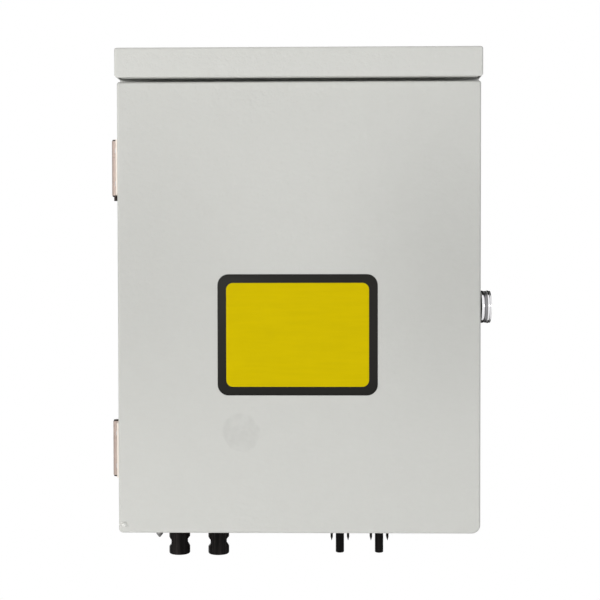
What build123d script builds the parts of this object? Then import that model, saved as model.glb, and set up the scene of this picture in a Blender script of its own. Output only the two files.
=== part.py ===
from build123d import *
import os
from math import radians, tan

# A wall-mounted DC combiner box for two solar strings, in millimetres.
# X runs to the right as seen from the front, Y towards the wall, Z up. The origin is the centre
# of the wall bolt pattern on the back face. A "depth" is a distance forwards from the wall, so
# y = -depth. Sheet thickness and bend radius set every folded piece.

# Case
overall_width = 300.0
overall_height = 400.0
body_depth = 160.0
sheet = 1.2
bend_inside = 0.8
rim_inset = 13.5
rim_height = 10.0
rim_corner = 6.0

# Hood
hood_lip_height = 24.3
hood_overhang = 10.0
hood_return = 8.0
hood_cheek_lift = 1.7
hood_corner_cut = 1.7
hood_rivet_x = 110.0
hood_rivet_first = 40.0
hood_rivet_pitch = 80.0
hood_rivet_rows = (hood_rivet_first, hood_rivet_first + hood_rivet_pitch)

# Door
door_side_step = 0.5
door_bottom_step = 0.9
door_hood_gap = 2.3
door_gap = 0.8
door_flange = 19.2
door_top_corner = 2.0
door_left_corner = 3.5
door_right_corner = 7.0
gasket_width = 10.0
gasket_round = 1.5
gasket_clear = 0.25

# Wall bolts (M8)
wall_bolt_inset = 30.0
wall_bolt_hole = 4.5

# Hinges
hinge_height = 45.4
hinge_top_distance = 69.6
hinge_bottom_distance = 68.3
hinge_radius = 3.25
hinge_standoff = 0.2
hinge_leaf = 1.5
hinge_reach = 17.0
hinge_pin_radius = 1.6
hinge_middle_share = 0.4
hinge_play = 0.15
hinge_relief = 0.3
hinge_pin_head = 1.1
hinge_pin_head_step = 0.5
hinge_pin_tail = 3.4
hinge_pin_tails = (hinge_pin_tail, 0.0)
rivet_radius = 2.0
rivet_head_radius = 3.5
rivet_head = 1.3
rivet_head_round = 0.9
rivet_tail_radius = 2.8
rivet_tail = 2.0

# Fits
running = 0.05
free = 0.2
touch = 0.3

# Side lock, on an axis along X
lock_setback = 16.0
lock_pad = 1.8
lock_flange_radius = 13.7
lock_flange = 3.7
lock_flange_round = 0.8
lock_waist_radius = 13.4
lock_waist = 2.4
lock_head_radius = 13.8
lock_head = 1.9
cap_thick = 1.3
cap_radius = 13.5
cap_round = 0.6
cap_pivot_height = 10.2
cap_rivet_radius = 1.2
cap_rivet_head = 0.5
cap_rivet_head_step = 0.9
lock_barrel_radius = 9.0
lock_barrel_reach = 21.0
lock_plug_radius = 6.4
lock_plug_sink = 1.0
lock_key_radius = 5.0
lock_key_post = 1.4
lock_key_depth = 8.0
cam_square = 7.0
cam_thick = 2.0
cam_width = 14.0
cam_length = 22.0
cam_screw_head_radius = 4.2
cam_screw_head = 3.0
cam_screw_radius = 2.0
cam_screw_round = 0.8
cam_screw_length = 9.0
lock_nut_flats = 24.0
lock_nut_height = 5.0
striker_width = 13.0
striker_thick = 1.5
striker_foot = 12.0
striker_inboard = 7.0
striker_outboard = 3.0
striker_clear = 0.5
striker_above = 4.0

# Mounting plate on welded studs
plate_width = 250.0
plate_height = 330.0
plate_thick = 1.5
plate_corner = 3.0
plate_gap = 10.8
plate_stud_inset_x = 15.0
plate_stud_inset_z = 20.0
standoff_radius = 5.0
m6_radius = 3.0
m6_nut_flats = 10.0
m6_nut = 5.0
stud_spare = 4.0

# DIN rails (35 x 7.5 top hat)
rail_width = 35.0
rail_web = 25.0
rail_height = 7.5
rail_sheet = 1.0
rail_length = 220.0
upper_rail_z = 85.0
lower_rail_z = -30.0
rail_screw_inset = 12.0
m5_radius = 2.5
m5_head_radius = 4.75
m5_head = 3.0
m5_head_round = 1.2
m5_spare = 4.0
cross_slot = 1.0
cross_depth = 1.4
hook_thick = 3.0
hook_reach = 2.0
hook_depth = 2.0
module = 18.0
module_gap = 0.4
shoulder_round = 1.5
nose_round = 1.0

# Fuse holders for 10 x 38 links
fuse_inner_column = 63.0
fuse_outer_column = fuse_inner_column + module
fuse_columns = (-fuse_outer_column, -fuse_inner_column, fuse_inner_column, fuse_outer_column)
fuse_half_height = 42.0
fuse_shoulder = 29.0
fuse_nose = 41.0
fuse_nose_half = 29.0
fuse_ear = 1.8
fuse_face = 11.7
fuse_face_top = 26.0
fuse_radius = 5.15
fuse_length = 38.0
fuse_cap_length = 9.0
fuse_cap_lip = 0.1
fuse_channel_inset = 6.0
cavity_below_pivot = 2.4
cavity_behind_link = 0.5
carrier_clear = 1.0
carrier_below_pivot = 2.0
drawer_pivot_radius = 2.2
drawer_tail = 3.0
drawer_grip = 4.0
drawer_grip_height = 4.0
drawer_grip_share = 0.6
drawer_top = 24.0
drawer_round = 1.2
lamp_width = 4.0
lamp_height = 6.0
lamp_below_mid = 12.0
lamp_sink = 1.0

# Breaker, two poles
breaker_half_height = 40.0
breaker_poles = 2
breaker_shoulder = 44.0
breaker_nose = 60.0
breaker_nose_half = 22.5
toggle_sink = 4.0
toggle_radius = 7.0
toggle_half_width = 13.0
toggle_throw = 35.0
toggle_lever = 16.0
toggle_lever_thick = 4.0
toggle_lever_inset = 1.0
toggle_lever_round = 1.2
pole_groove = 0.8
toggle_pivot_radius = 1.5
toggle_pivot_reach = 2.5

# Surge arrester, three plug-in cartridges
spd_half_height = 45.0
spd_floor = 20.0
spd_cartridge_half = 24.0
spd_cartridge_front = 63.0
spd_poles = 3
blade_thick = 1.2
blade_width = 6.0
blade_length = 9.0
blade_spread = 14.0
blade_spare = 1.0
cartridge_round = 1.5
finger_groove_depth = 1.2
finger_groove_width = 3.0
finger_groove_behind = 5.0
status_width = 5.0
status_height = 5.0
status_above_mid = 4.0
status_sink = 0.8

# Terminals
terminal_inset = 7.0
terminal_well_radius = 3.2
terminal_well = 6.0
terminal_screw_radius = 2.8
terminal_screw = 3.0
terminal_slot = 0.8
terminal_slot_depth = 1.2
wire_entry_radius = 3.0
wire_entry = 8.0
entry_behind_shoulder = 10.0
comb_behind_shoulder = 19.0
comb_thick = 2.0
comb_height = 9.0
comb_pin_width = 6.0
comb_slot_play = 0.5
comb_end = 4.0

# Wires
wire_radius = 2.3
wire_fill = 0.45
wire_rise = 34.0
string_slack_z = -75.0
bus_corridor = 7.28
bus_step = 5.0
bus_loop = 25.0
bus_turn = 30.0
breaker_run = 12.0
feed_loop = 45.0
surge_earth_run = 12.0
surge_earth_fall = 17.0
surge_earth_step = 30.0
stud_earth_run = 35.0
stud_earth_fall = 38.0
stud_earth_turn = 23.0
stud_earth_back = 5.0
stud_earth_forward = 14.0

# Earth bar
earth_bar_inset_x = 35.0
earth_bar_inset_z = 35.0
earth_bar_x = plate_width / 2 - earth_bar_inset_x
earth_bar_z = earth_bar_inset_z - plate_height / 2
earth_bar_length = 60.0
earth_bar_height = 12.0
earth_bar_thick = 10.0
earth_post = 12.0
earth_post_radius = 5.0
earth_post_spread = 44.0
earth_way_pitch = 10.0
earth_ways = 3
earth_screw_proud = 2.0

# Earth stud through the bottom wall
earth_stud_x = -127.0
earth_stud_drop = 20.9
earth_stud_rise = 14.0
earth_stud_point = 3.2
earth_stud_tip_radius = 0.4
washer_radius = 6.0
washer = 1.2
lug_thick = 1.5
lug_length = 12.0
lug_neck = 6.5
lug_barrel_radius = 3.1
lug_overlap = 2.0

# Panel connectors in one row under the bottom wall
connector_depth = 90.0
connector_pitch = 35.0
wide_inner_column = 74.0
slim_inner_column = 34.5
wide_columns = (-wide_inner_column - connector_pitch, -wide_inner_column)
slim_columns = (slim_inner_column, slim_inner_column + connector_pitch)
connector_seal = 1.5
connector_seal_radius = 10.0
connector_flange_radius = 11.0
connector_flange = 4.0
connector_thread_radius = 7.0
connector_thread = 10.0
connector_tail_radius = 6.4
connector_tail = 10.8
connector_nut_flats = 18.0
connector_nut = 5.0
wide_radius = 9.3
wide_drop = 35.4
wide_neck_half = 6.75
wide_neck_low = 28.6
wide_neck_high = 19.8
wide_neck_ramp = 2.3
wide_neck_margin = 1.0
wide_foot_round = 1.8
wide_bore_radius = 4.2
wide_bore = 22.0
pin_radius = 1.5
contact_stop = 3.0
contact_base_radius = 2.3
contact_base = 8.0
slim_radius = 3.7
slim_drop = 33.9
slim_tip_round = 1.0
slim_bore_radius = 2.8
slim_collar = 12.0
slim_collar_radius = 9.0
prong_offset = 7.3
prong_thick = 2.1
prong_width = 5.0
prong_drop = 23.1
prong_point = 3.4
socket_radius = 2.6

# Output cable glands (M20), behind the connectors
gland_pitch = 36.0
gland_inner_column = 1.75
gland_columns = (-gland_inner_column - gland_pitch, -gland_inner_column)
gland_depth = 40.0
gland_thread_radius = 10.0
gland_thread = 9.0
gland_flats = 24.0
gland_hex = 5.0
gland_cap_radius = 11.4
gland_cap = 14.0
gland_cap_wall = 2.0
gland_cap_lip = 2.0
gland_cap_round = 3.0
gland_bore_radius = 6.5
gland_seal_bore = 5.0
gland_nut_flats = 25.0
gland_nut = 5.0

# Levels and depths that follow
bend_outside = bend_inside + sheet
wall_bolt_x = overall_width - 2 * wall_bolt_inset
wall_bolt_z = overall_height - 2 * wall_bolt_inset
half_width = overall_width / 2
z_top = overall_height / 2
z_bottom = -overall_height / 2
body_top = z_top - sheet
floor = z_bottom + sheet
hood_lip_bottom = z_top - hood_lip_height
door_top = hood_lip_bottom - door_hood_gap
door_bottom = z_bottom + door_bottom_step
door_half = half_width - door_side_step
door_height = door_top - door_bottom
door_mid = (door_top + door_bottom) / 2
door_back = body_depth + door_gap
door_front = door_back + door_flange
hood_front = door_front + hood_overhang
rim_front = body_depth + rim_height
rim_width = 2 * (door_half - rim_inset)
rim_tall = door_height - 2 * rim_inset
hinge_x = -half_width - hinge_standoff - hinge_radius
hinge_depth = body_depth + door_gap / 2
hinge_levels = (door_top - hinge_top_distance, door_bottom + hinge_bottom_distance)
hinge_rivet_depth = hinge_reach * 0.6
hinge_rivet_z = hinge_height * 0.3
lock_z = door_mid
lock_depth = body_depth - lock_setback
plate_stud_x = plate_width - 2 * plate_stud_inset_x
plate_stud_z = plate_height - 2 * plate_stud_inset_z
rail_screw_x = rail_length / 2 - rail_screw_inset
plate_back = sheet + plate_gap
plate_front = plate_back + plate_thick
rail_front = plate_front + rail_height
seat = rail_front + free / 2
device_width = module - module_gap
earth_bar_depth = plate_front + earth_post + earth_bar_thick / 2


def inset_hole(x, depth):
    """A place on the bottom wall."""
    return (x, -depth)


def bend_radii(points):
    """The widest arc that each corner's two runs leave room for."""
    spots = [Vector(*p) for p in points]
    radii = []
    for before, corner, after in zip(spots, spots[1:], spots[2:]):
        turn = (corner - before).get_angle(after - corner)
        run = min((corner - before).length, (after - corner).length)
        radii.append(wire_fill * run / tan(radians(turn) / 2))
    return radii


def lay_wires(routes, label):
    """One solid of round wire for each route, a list of (x, depth, z)."""
    section_times_length = 0.0
    with BuildPart() as wires:
        for route in routes:
            points = [(x, -depth, z) for x, depth, z in route]
            with BuildLine() as run:
                FilletPolyline(*points, radius=bend_radii(points))
            path = run.wires()[0]
            with BuildSketch(Plane(origin=path @ 0, z_dir=path % 0)) as section:
                Circle(wire_radius)
            sweep(sections=section.sketch, path=path)
            section_times_length += section.sketch.area * path.length
            print(label, "least bend", round(min(bend_radii(points)), 1), "length", round(path.length, 1))
    print(label, "volume", round(wires.part.volume, 1), "section x length", round(section_times_length, 1))
    return wires


def nut(flats, height, bore, centre):
    """A hexagon nut as one solid, its base at centre, standing up +Z."""
    with BuildPart() as piece:
        with BuildSketch(Plane.XY.offset(centre[2])):
            with Locations((centre[0], centre[1])):
                RegularPolygon(radius=flats / 2, side_count=6, major_radius=False)
                Circle(bore, mode=Mode.SUBTRACT)
        extrude(amount=height)
    return piece.part


def save(piece, label):
    piece.part.label = label
    export_step(piece.part, f"parts/{label}.step")


os.makedirs("parts", exist_ok=True)

# ---------------------------------------------------------------- case body
body_mid = (body_top + z_bottom) / 2
body_tall = body_top - z_bottom

with BuildPart() as case_hollow:
    with BuildSketch(Plane.XZ.offset(sheet)):
        with Locations((0, body_mid)):
            Rectangle(overall_width - 2 * sheet, body_tall - 2 * sheet)
    extrude(amount=body_depth - 2 * sheet)
    fillet(case_hollow.edges(), bend_inside)

with BuildPart() as enclosure_body:
    with BuildSketch(Plane.XZ):
        with Locations((0, body_mid)):
            Rectangle(overall_width, body_tall)
    extrude(amount=body_depth)
    fillet(enclosure_body.edges(), bend_outside)
    add(case_hollow.part, mode=Mode.SUBTRACT)
    # rim that the door's gasket seals on, folded forwards from the front opening
    with BuildSketch(Plane.XZ.offset(body_depth - sheet)):
        with Locations((0, door_mid)):
            RectangleRounded(rim_width, rim_tall, rim_corner)
    extrude(amount=rim_height + sheet)
    with BuildSketch(Plane.XZ.offset(body_depth - sheet)):
        with Locations((0, door_mid)):
            RectangleRounded(rim_width - 2 * sheet, rim_tall - 2 * sheet, rim_corner - sheet)
    extrude(amount=rim_height + sheet, mode=Mode.SUBTRACT)
    # wall bolt holes
    with BuildSketch(Plane.XZ):
        with GridLocations(wall_bolt_x, wall_bolt_z, 2, 2):
            Circle(wall_bolt_hole)
    extrude(amount=sheet, mode=Mode.SUBTRACT)
    # holes in the bottom wall
    with BuildSketch(Plane.XY.offset(z_bottom)):
        with Locations(*[inset_hole(x, connector_depth) for x in wide_columns + slim_columns]):
            Circle(connector_thread_radius + running)
        with Locations(*[inset_hole(x, gland_depth) for x in gland_columns]):
            Circle(gland_thread_radius + running)
        with Locations(inset_hole(earth_stud_x, connector_depth)):
            Circle(m6_radius + running)
    extrude(amount=sheet, mode=Mode.SUBTRACT)
    # rivet holes under the hood
    with BuildSketch(Plane.XY.offset(body_top - sheet)):
        with Locations(*[(side * hood_rivet_x, -row) for side in (-1, 1) for row in hood_rivet_rows]):
            Circle(rivet_radius + running)
    extrude(amount=sheet, mode=Mode.SUBTRACT)
    # lock hole in the right wall, hinge rivet holes in the left one
    with BuildSketch(Plane.YZ.offset(half_width - sheet)):
        with Locations((-lock_depth, lock_z)):
            Circle(lock_barrel_radius + running)
    extrude(amount=sheet, mode=Mode.SUBTRACT)
    with BuildSketch(Plane.YZ.offset(-half_width)):
        for level in hinge_levels:
            with Locations((-hinge_depth + hinge_rivet_depth, level)):
                with GridLocations(1, 2 * hinge_rivet_z, 1, 2):
                    Circle(rivet_radius + running)
    extrude(amount=sheet, mode=Mode.SUBTRACT)
save(enclosure_body, "enclosure_body")

# ---------------------------------------------------------------- rain hood
canopy_depth = hood_front - body_depth

with BuildPart() as canopy_hollow:
    with BuildSketch(Plane.XZ.offset(body_depth - bend_outside)):
        with Locations((0, body_top - hood_lip_height)):
            Rectangle(overall_width - 2 * sheet, 2 * hood_lip_height)
    extrude(amount=canopy_depth + bend_outside - sheet)
    fillet(canopy_hollow.faces().sort_by(Axis.Y)[0].edges(), bend_inside)

with BuildPart() as rain_hood:
    with BuildSketch(Plane.XZ.offset(body_depth)):
        with Locations((0, z_top - hood_lip_height / 2)):
            Rectangle(overall_width, hood_lip_height)
    extrude(amount=canopy_depth)
    front_edges = rain_hood.faces().sort_by(Axis.Y)[0].edges()
    shoulder_edges = rain_hood.faces().sort_by(Axis.Z)[-1].edges().filter_by(Axis.Y)
    lip_edge = front_edges.sort_by(Axis.Z)[0]
    fillet([e for e in front_edges if e != lip_edge] + list(shoulder_edges), bend_outside)
    add(canopy_hollow.part, mode=Mode.SUBTRACT)
    # cheeks stop a little higher than the lip
    with BuildSketch(Plane.XZ.offset(body_depth)):
        with Locations((0, hood_lip_bottom + hood_cheek_lift / 2)):
            Rectangle(overall_width, hood_cheek_lift)
    extrude(amount=canopy_depth - bend_outside, mode=Mode.SUBTRACT)
    # lip's lower corners are cut on a slant
    with BuildSketch(Plane.XZ.offset(hood_front)):
        for side in (-1, 1):
            edge = side * half_width
            with BuildLine():
                Polyline(
                    (edge, hood_lip_bottom),
                    (edge, hood_lip_bottom + hood_cheek_lift),
                    (edge - side * hood_corner_cut, hood_lip_bottom),
                    close=True,
                )
            make_face()
    extrude(amount=-bend_outside, mode=Mode.SUBTRACT)
    # return along the lip's lower edge
    with BuildSketch(Plane.XY.offset(hood_lip_bottom)):
        with Locations((0, -hood_front + hood_return / 2)):
            Trapezoid(overall_width - 2 * hood_corner_cut, hood_return, 60)
    extrude(amount=sheet)
    # top plate over the body
    with BuildSketch(Plane.XY.offset(body_top)):
        with Locations((0, -(body_depth + bend_outside) / 2)):
            Rectangle(overall_width, body_depth + bend_outside)
    extrude(amount=sheet)
    with BuildSketch(Plane.XY.offset(body_top)):
        with Locations(*[(side * hood_rivet_x, -row) for side in (-1, 1) for row in hood_rivet_rows]):
            Circle(rivet_radius + running)
    extrude(amount=sheet, mode=Mode.SUBTRACT)
save(rain_hood, "rain_hood")


def rivet(base, out, grip):
    """A blind rivet: head on the outside at base, pointing out along the plane's normal."""
    with BuildPart() as piece:
        with BuildSketch(Plane(origin=base, z_dir=out)):
            Circle(rivet_head_radius)
        extrude(amount=rivet_head)
        fillet(piece.faces().sort_by(Axis(base, out))[-1].edges(), rivet_head_round)
        with BuildSketch(Plane(origin=base, z_dir=out)):
            Circle(rivet_radius)
        extrude(amount=-(grip + rivet_tail))
        tail = Vector(*base) - Vector(*out) * grip
        with BuildSketch(Plane(origin=tail, z_dir=out)):
            Circle(rivet_tail_radius)
        extrude(amount=-rivet_tail)
    return piece.part


hood_rivet_places = [(side * hood_rivet_x, -row, z_top) for side in (-1, 1) for row in hood_rivet_rows]
hood_rivet_bodies = [rivet(place, (0, 0, 1), 2 * sheet) for place in hood_rivet_places]
with BuildPart() as hood_rivets:
    add(hood_rivet_bodies)
save(hood_rivets, "hood_rivets")

# ---------------------------------------------------------------- door
door_inside = door_front - sheet


def pan_block(inset, depth_to, edge_round):
    """The door's outline, drawn in by inset, from its open back to depth_to."""
    corners = [
        (-1, 1, door_top_corner),
        (1, 1, door_top_corner),
        (-1, -1, door_left_corner),
        (1, -1, door_right_corner),
    ]
    with BuildPart() as block:
        with BuildSketch(Plane.XZ.offset(door_back)):
            with Locations((0, door_mid)):
                Rectangle(2 * (door_half - inset), door_height - 2 * inset)
        extrude(amount=depth_to - door_back)
        for x_side, z_side, radius in corners:
            upright = block.edges().filter_by(Axis.Y).sort_by(Axis((0, 0, 0), (x_side, 0, z_side)))[-1]
            fillet(upright, radius - inset)
        fillet(block.faces().sort_by(Axis.Y)[0].edges(), edge_round)
    return block.part


with BuildPart() as door_panel:
    add(pan_block(0, door_front, bend_outside - running))
    add(pan_block(sheet, door_inside, bend_inside - running), mode=Mode.SUBTRACT)
    with BuildSketch(Plane.YZ.offset(-door_half)):
        for level in hinge_levels:
            with Locations((-hinge_depth - hinge_rivet_depth, level)):
                with GridLocations(1, 2 * hinge_rivet_z, 1, 2):
                    Circle(rivet_radius + running)
    extrude(amount=sheet, mode=Mode.SUBTRACT)
save(door_panel, "door_panel")

gasket_back = rim_front + gasket_clear
rim_line_width = rim_width - sheet
rim_line_tall = rim_tall - sheet

with BuildPart() as door_gasket:
    with BuildSketch(Plane.XZ.offset(gasket_back)):
        with Locations((0, door_mid)):
            RectangleRounded(
                rim_line_width + gasket_width,
                rim_line_tall + gasket_width,
                rim_corner + gasket_width / 2,
            )
            RectangleRounded(
                rim_line_width - gasket_width,
                rim_line_tall - gasket_width,
                rim_corner - gasket_width / 2,
                mode=Mode.SUBTRACT,
            )
    extrude(amount=door_inside - gasket_back)
    fillet(door_gasket.faces().sort_by(Axis.Y)[-1].edges(), gasket_round)
save(door_gasket, "door_gasket")

# ---------------------------------------------------------------- hinges
knuckle_ends = hinge_height * (1 - hinge_middle_share) / 2
knuckle_middle = hinge_height * hinge_middle_share


def knuckle(level, height, leaf_x, leaf_from, leaf_to):
    """A barrel length with the strip of leaf that joins it, standing on level."""
    with BuildSketch(Plane.XY.offset(level)) as section:
        with Locations((hinge_x, -hinge_depth)):
            Circle(hinge_radius)
        with Locations((leaf_x - hinge_leaf / 2, -(leaf_from + leaf_to) / 2)):
            Rectangle(hinge_leaf, abs(leaf_to - leaf_from))
        with Locations((hinge_x, -hinge_depth)):
            Circle(hinge_pin_radius + running, mode=Mode.SUBTRACT)
    extrude(section.sketch, amount=height)


def leaf(level, leaf_x, leaf_from, leaf_to, rivet_at):
    """The flat of a leaf with its two rivet holes."""
    with BuildSketch(Plane.YZ.offset(leaf_x - hinge_leaf)) as outline:
        with Locations((-(leaf_from + leaf_to) / 2, level)):
            Rectangle(abs(leaf_to - leaf_from), hinge_height)
        with Locations((-rivet_at, level)):
            with GridLocations(1, 2 * hinge_rivet_z, 1, 2):
                Circle(rivet_radius + running, mode=Mode.SUBTRACT)
    extrude(outline.sketch, amount=hinge_leaf)


leaf_relief = hinge_radius + hinge_relief
body_leaf_back = hinge_depth - hinge_reach
body_leaf_front = hinge_depth - leaf_relief
door_leaf_back = hinge_depth + leaf_relief
door_leaf_front = hinge_depth + hinge_reach

with BuildPart() as hinge_body_leaves:
    for level in hinge_levels:
        low = level - hinge_height / 2
        leaf(level, -half_width, body_leaf_back, body_leaf_front, hinge_depth - hinge_rivet_depth)
        for start in (low, low + knuckle_ends + knuckle_middle):
            knuckle(start, knuckle_ends, -half_width, body_leaf_front, body_depth)
save(hinge_body_leaves, "hinge_body_leaves")

with BuildPart() as hinge_door_leaves:
    for level in hinge_levels:
        low = level - knuckle_middle / 2 + hinge_play
        leaf(level, -door_half, door_leaf_back, door_leaf_front, hinge_depth + hinge_rivet_depth)
        knuckle(low, knuckle_middle - 2 * hinge_play, -door_half, door_back, door_leaf_back)
save(hinge_door_leaves, "hinge_door_leaves")

with BuildPart() as hinge_pins:
    for level, tail in zip(hinge_levels, hinge_pin_tails):
        low = level - hinge_height / 2
        with BuildSketch(Plane.XY.offset(low - hinge_pin_head - tail)):
            with Locations((hinge_x, -hinge_depth)):
                Circle(hinge_pin_radius)
        extrude(amount=hinge_height + hinge_pin_head + tail)
        for base, lift in ((low, -hinge_pin_head), (low + hinge_height, hinge_pin_head)):
            with BuildSketch(Plane.XY.offset(base)):
                with Locations((hinge_x, -hinge_depth)):
                    Circle(hinge_radius - hinge_pin_head_step)
            extrude(amount=lift)
save(hinge_pins, "hinge_pins")


def hinge_rivet_set(leaf_outside, depth):
    """The four rivets of the two leaves on one side of the hinge line."""
    levels = [level + side * hinge_rivet_z for level in hinge_levels for side in (-1, 1)]
    return [rivet((leaf_outside, -depth, level), (-1, 0, 0), hinge_leaf + sheet) for level in levels]


body_rivet_bodies = hinge_rivet_set(-half_width - hinge_leaf, hinge_depth - hinge_rivet_depth)
with BuildPart() as body_hinge_rivets:
    add(body_rivet_bodies)
save(body_hinge_rivets, "body_hinge_rivets")

door_rivet_bodies = hinge_rivet_set(-door_half - hinge_leaf, hinge_depth + hinge_rivet_depth)
with BuildPart() as door_hinge_rivets:
    add(door_rivet_bodies)
save(door_hinge_rivets, "door_hinge_rivets")

# ---------------------------------------------------------------- side lock
lock_centre = (-lock_depth, lock_z)
pad_face = half_width + lock_pad
flange_face = pad_face + lock_flange
waist_face = flange_face + lock_waist
head_face = waist_face + lock_head
cap_back = head_face + free / 2
cap_face = cap_back + cap_thick
barrel_end = half_width - sheet - lock_barrel_reach
plug_end = barrel_end - free
cam_face = plug_end - cam_thick
pivot_spot = (-lock_depth, lock_z + cap_pivot_height)


def disc_x(x_from, x_to, radius, centre=lock_centre, mode=Mode.ADD):
    """A round bar or hole along X."""
    with BuildSketch(Plane.YZ.offset(x_from)) as section:
        with Locations(centre):
            Circle(radius)
    extrude(section.sketch, amount=x_to - x_from, mode=mode)


with BuildPart() as lock_gasket:
    disc_x(half_width, pad_face, lock_flange_radius)
    disc_x(half_width, pad_face, lock_barrel_radius + running, mode=Mode.SUBTRACT)
save(lock_gasket, "lock_gasket")

with BuildPart() as lock_housing:
    disc_x(pad_face, flange_face, lock_flange_radius)
    fillet(lock_housing.faces().sort_by(Axis.X)[-1].edges(), lock_flange_round)
    disc_x(pad_face, waist_face, lock_waist_radius)
    disc_x(waist_face, head_face, lock_head_radius)
    disc_x(barrel_end, flange_face, lock_barrel_radius)
    disc_x(barrel_end, head_face, lock_plug_radius + running, mode=Mode.SUBTRACT)
    disc_x(waist_face, head_face, cap_rivet_radius + running, pivot_spot, mode=Mode.SUBTRACT)
save(lock_housing, "lock_housing")

with BuildPart() as lock_nut:
    with BuildSketch(Plane.YZ.offset(half_width - sheet - lock_nut_height)):
        with Locations(lock_centre):
            RegularPolygon(radius=lock_nut_flats / 2, side_count=6, major_radius=False)
            Circle(lock_barrel_radius + running, mode=Mode.SUBTRACT)
    extrude(amount=lock_nut_height)
save(lock_nut, "lock_nut")

plug_face = head_face - lock_plug_sink
with BuildPart() as lock_plug:
    disc_x(plug_end, plug_face, lock_plug_radius)
    with BuildSketch(Plane.YZ.offset(cam_face)):
        with Locations(lock_centre):
            Rectangle(cam_square, cam_square)
    extrude(amount=cam_thick)
    # three-sided key socket with its raised centre
    with BuildSketch(Plane.YZ.offset(plug_face - lock_key_depth)):
        with Locations(lock_centre):
            RegularPolygon(radius=lock_key_radius, side_count=3)
            Circle(lock_key_post, mode=Mode.SUBTRACT)
    extrude(amount=lock_key_depth, mode=Mode.SUBTRACT)
    disc_x(cam_face, cam_face + cam_screw_length, cam_screw_radius, mode=Mode.SUBTRACT)
save(lock_plug, "lock_plug")

# the cam points forwards when the lock is open, and up in front of the striker's tab when it is shut
with BuildPart() as lock_cam:
    with BuildSketch(Plane.YZ.offset(cam_face)):
        with Locations(lock_centre):
            Circle(cam_width / 2)
            with Locations((-(cam_length - cam_width / 4) / 2, 0)):
                Rectangle(cam_length - cam_width / 4, cam_width)
            Rectangle(cam_square + 2 * running, cam_square + 2 * running, mode=Mode.SUBTRACT)
    extrude(amount=cam_thick)
    fillet(lock_cam.edges().filter_by(Axis.X).sort_by(Axis.Y)[:2], cam_width / 4)
save(lock_cam, "lock_cam")

with BuildPart() as cam_screw:
    disc_x(cam_face - cam_screw_head, cam_face, cam_screw_head_radius)
    fillet(cam_screw.faces().sort_by(Axis.X)[0].edges(), cam_screw_round)
    disc_x(cam_face, cam_face + cam_screw_length, cam_screw_radius - running)
save(cam_screw, "cam_screw")

with BuildPart() as dust_cap:
    disc_x(cap_back, cap_face, cap_radius)
    fillet(dust_cap.faces().sort_by(Axis.X)[-1].edges(), cap_round)
    disc_x(cap_back, cap_face, cap_rivet_radius + running, pivot_spot, mode=Mode.SUBTRACT)
save(dust_cap, "dust_cap")

with BuildPart() as dust_cap_rivet:
    disc_x(waist_face, cap_face, cap_rivet_radius, pivot_spot)
    disc_x(cap_face, cap_face + cap_rivet_head, cap_rivet_radius + cap_rivet_head_step, pivot_spot)
save(dust_cap_rivet, "dust_cap_rivet")

# striker on the door: foot on the inside face, web reaching back, tab just behind the raised cam
tab_front = lock_depth - cam_width / 2 - striker_clear
tab_back = tab_front - striker_thick
web_x = cam_face - striker_inboard
tab_end = cam_face + cam_thick + striker_outboard
with BuildPart() as door_striker:
    with BuildSketch(Plane.XY.offset(lock_z + cam_width / 2 + striker_above)):
        with BuildLine():
            Polyline(
                (web_x - striker_foot, -door_inside),
                (web_x + striker_thick, -door_inside),
                (web_x + striker_thick, -tab_front),
                (tab_end, -tab_front),
                (tab_end, -tab_back),
                (web_x, -tab_back),
                (web_x, -door_inside + striker_thick),
                (web_x - striker_foot, -door_inside + striker_thick),
                close=True,
            )
        make_face()
    extrude(amount=striker_width)
save(door_striker, "door_striker")

# ---------------------------------------------------------------- mounting plate and rails
with BuildPart() as plate_standoffs:
    with BuildSketch(Plane.XZ.offset(sheet)):
        with GridLocations(plate_stud_x, plate_stud_z, 2, 2):
            Circle(standoff_radius)
    extrude(amount=plate_gap)
    with BuildSketch(Plane.XZ.offset(plate_back)):
        with GridLocations(plate_stud_x, plate_stud_z, 2, 2):
            Circle(m6_radius)
    extrude(amount=plate_thick + m6_nut + stud_spare)
save(plate_standoffs, "plate_standoffs")

rail_levels = (upper_rail_z, lower_rail_z)
rail_screw_spots = [(side * rail_screw_x, level) for side in (-1, 1) for level in rail_levels]
earth_post_spots = [(earth_bar_x + side * earth_post_spread / 2, earth_bar_z) for side in (-1, 1)]

with BuildPart() as mounting_plate:
    with BuildSketch(Plane.XZ.offset(plate_back)):
        RectangleRounded(plate_width, plate_height, plate_corner)
        with GridLocations(plate_stud_x, plate_stud_z, 2, 2):
            Circle(m6_radius + free, mode=Mode.SUBTRACT)
        with Locations(*rail_screw_spots, *earth_post_spots):
            Circle(m5_radius + running, mode=Mode.SUBTRACT)
    extrude(amount=plate_thick)
save(mounting_plate, "mounting_plate")

with BuildPart() as plate_nuts:
    with BuildSketch(Plane.XZ.offset(plate_front)):
        with GridLocations(plate_stud_x, plate_stud_z, 2, 2):
            RegularPolygon(radius=m6_nut_flats / 2, side_count=6, major_radius=False)
            Circle(m6_radius + running, mode=Mode.SUBTRACT)
    extrude(amount=m6_nut)
save(plate_nuts, "plate_nuts")

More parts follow.
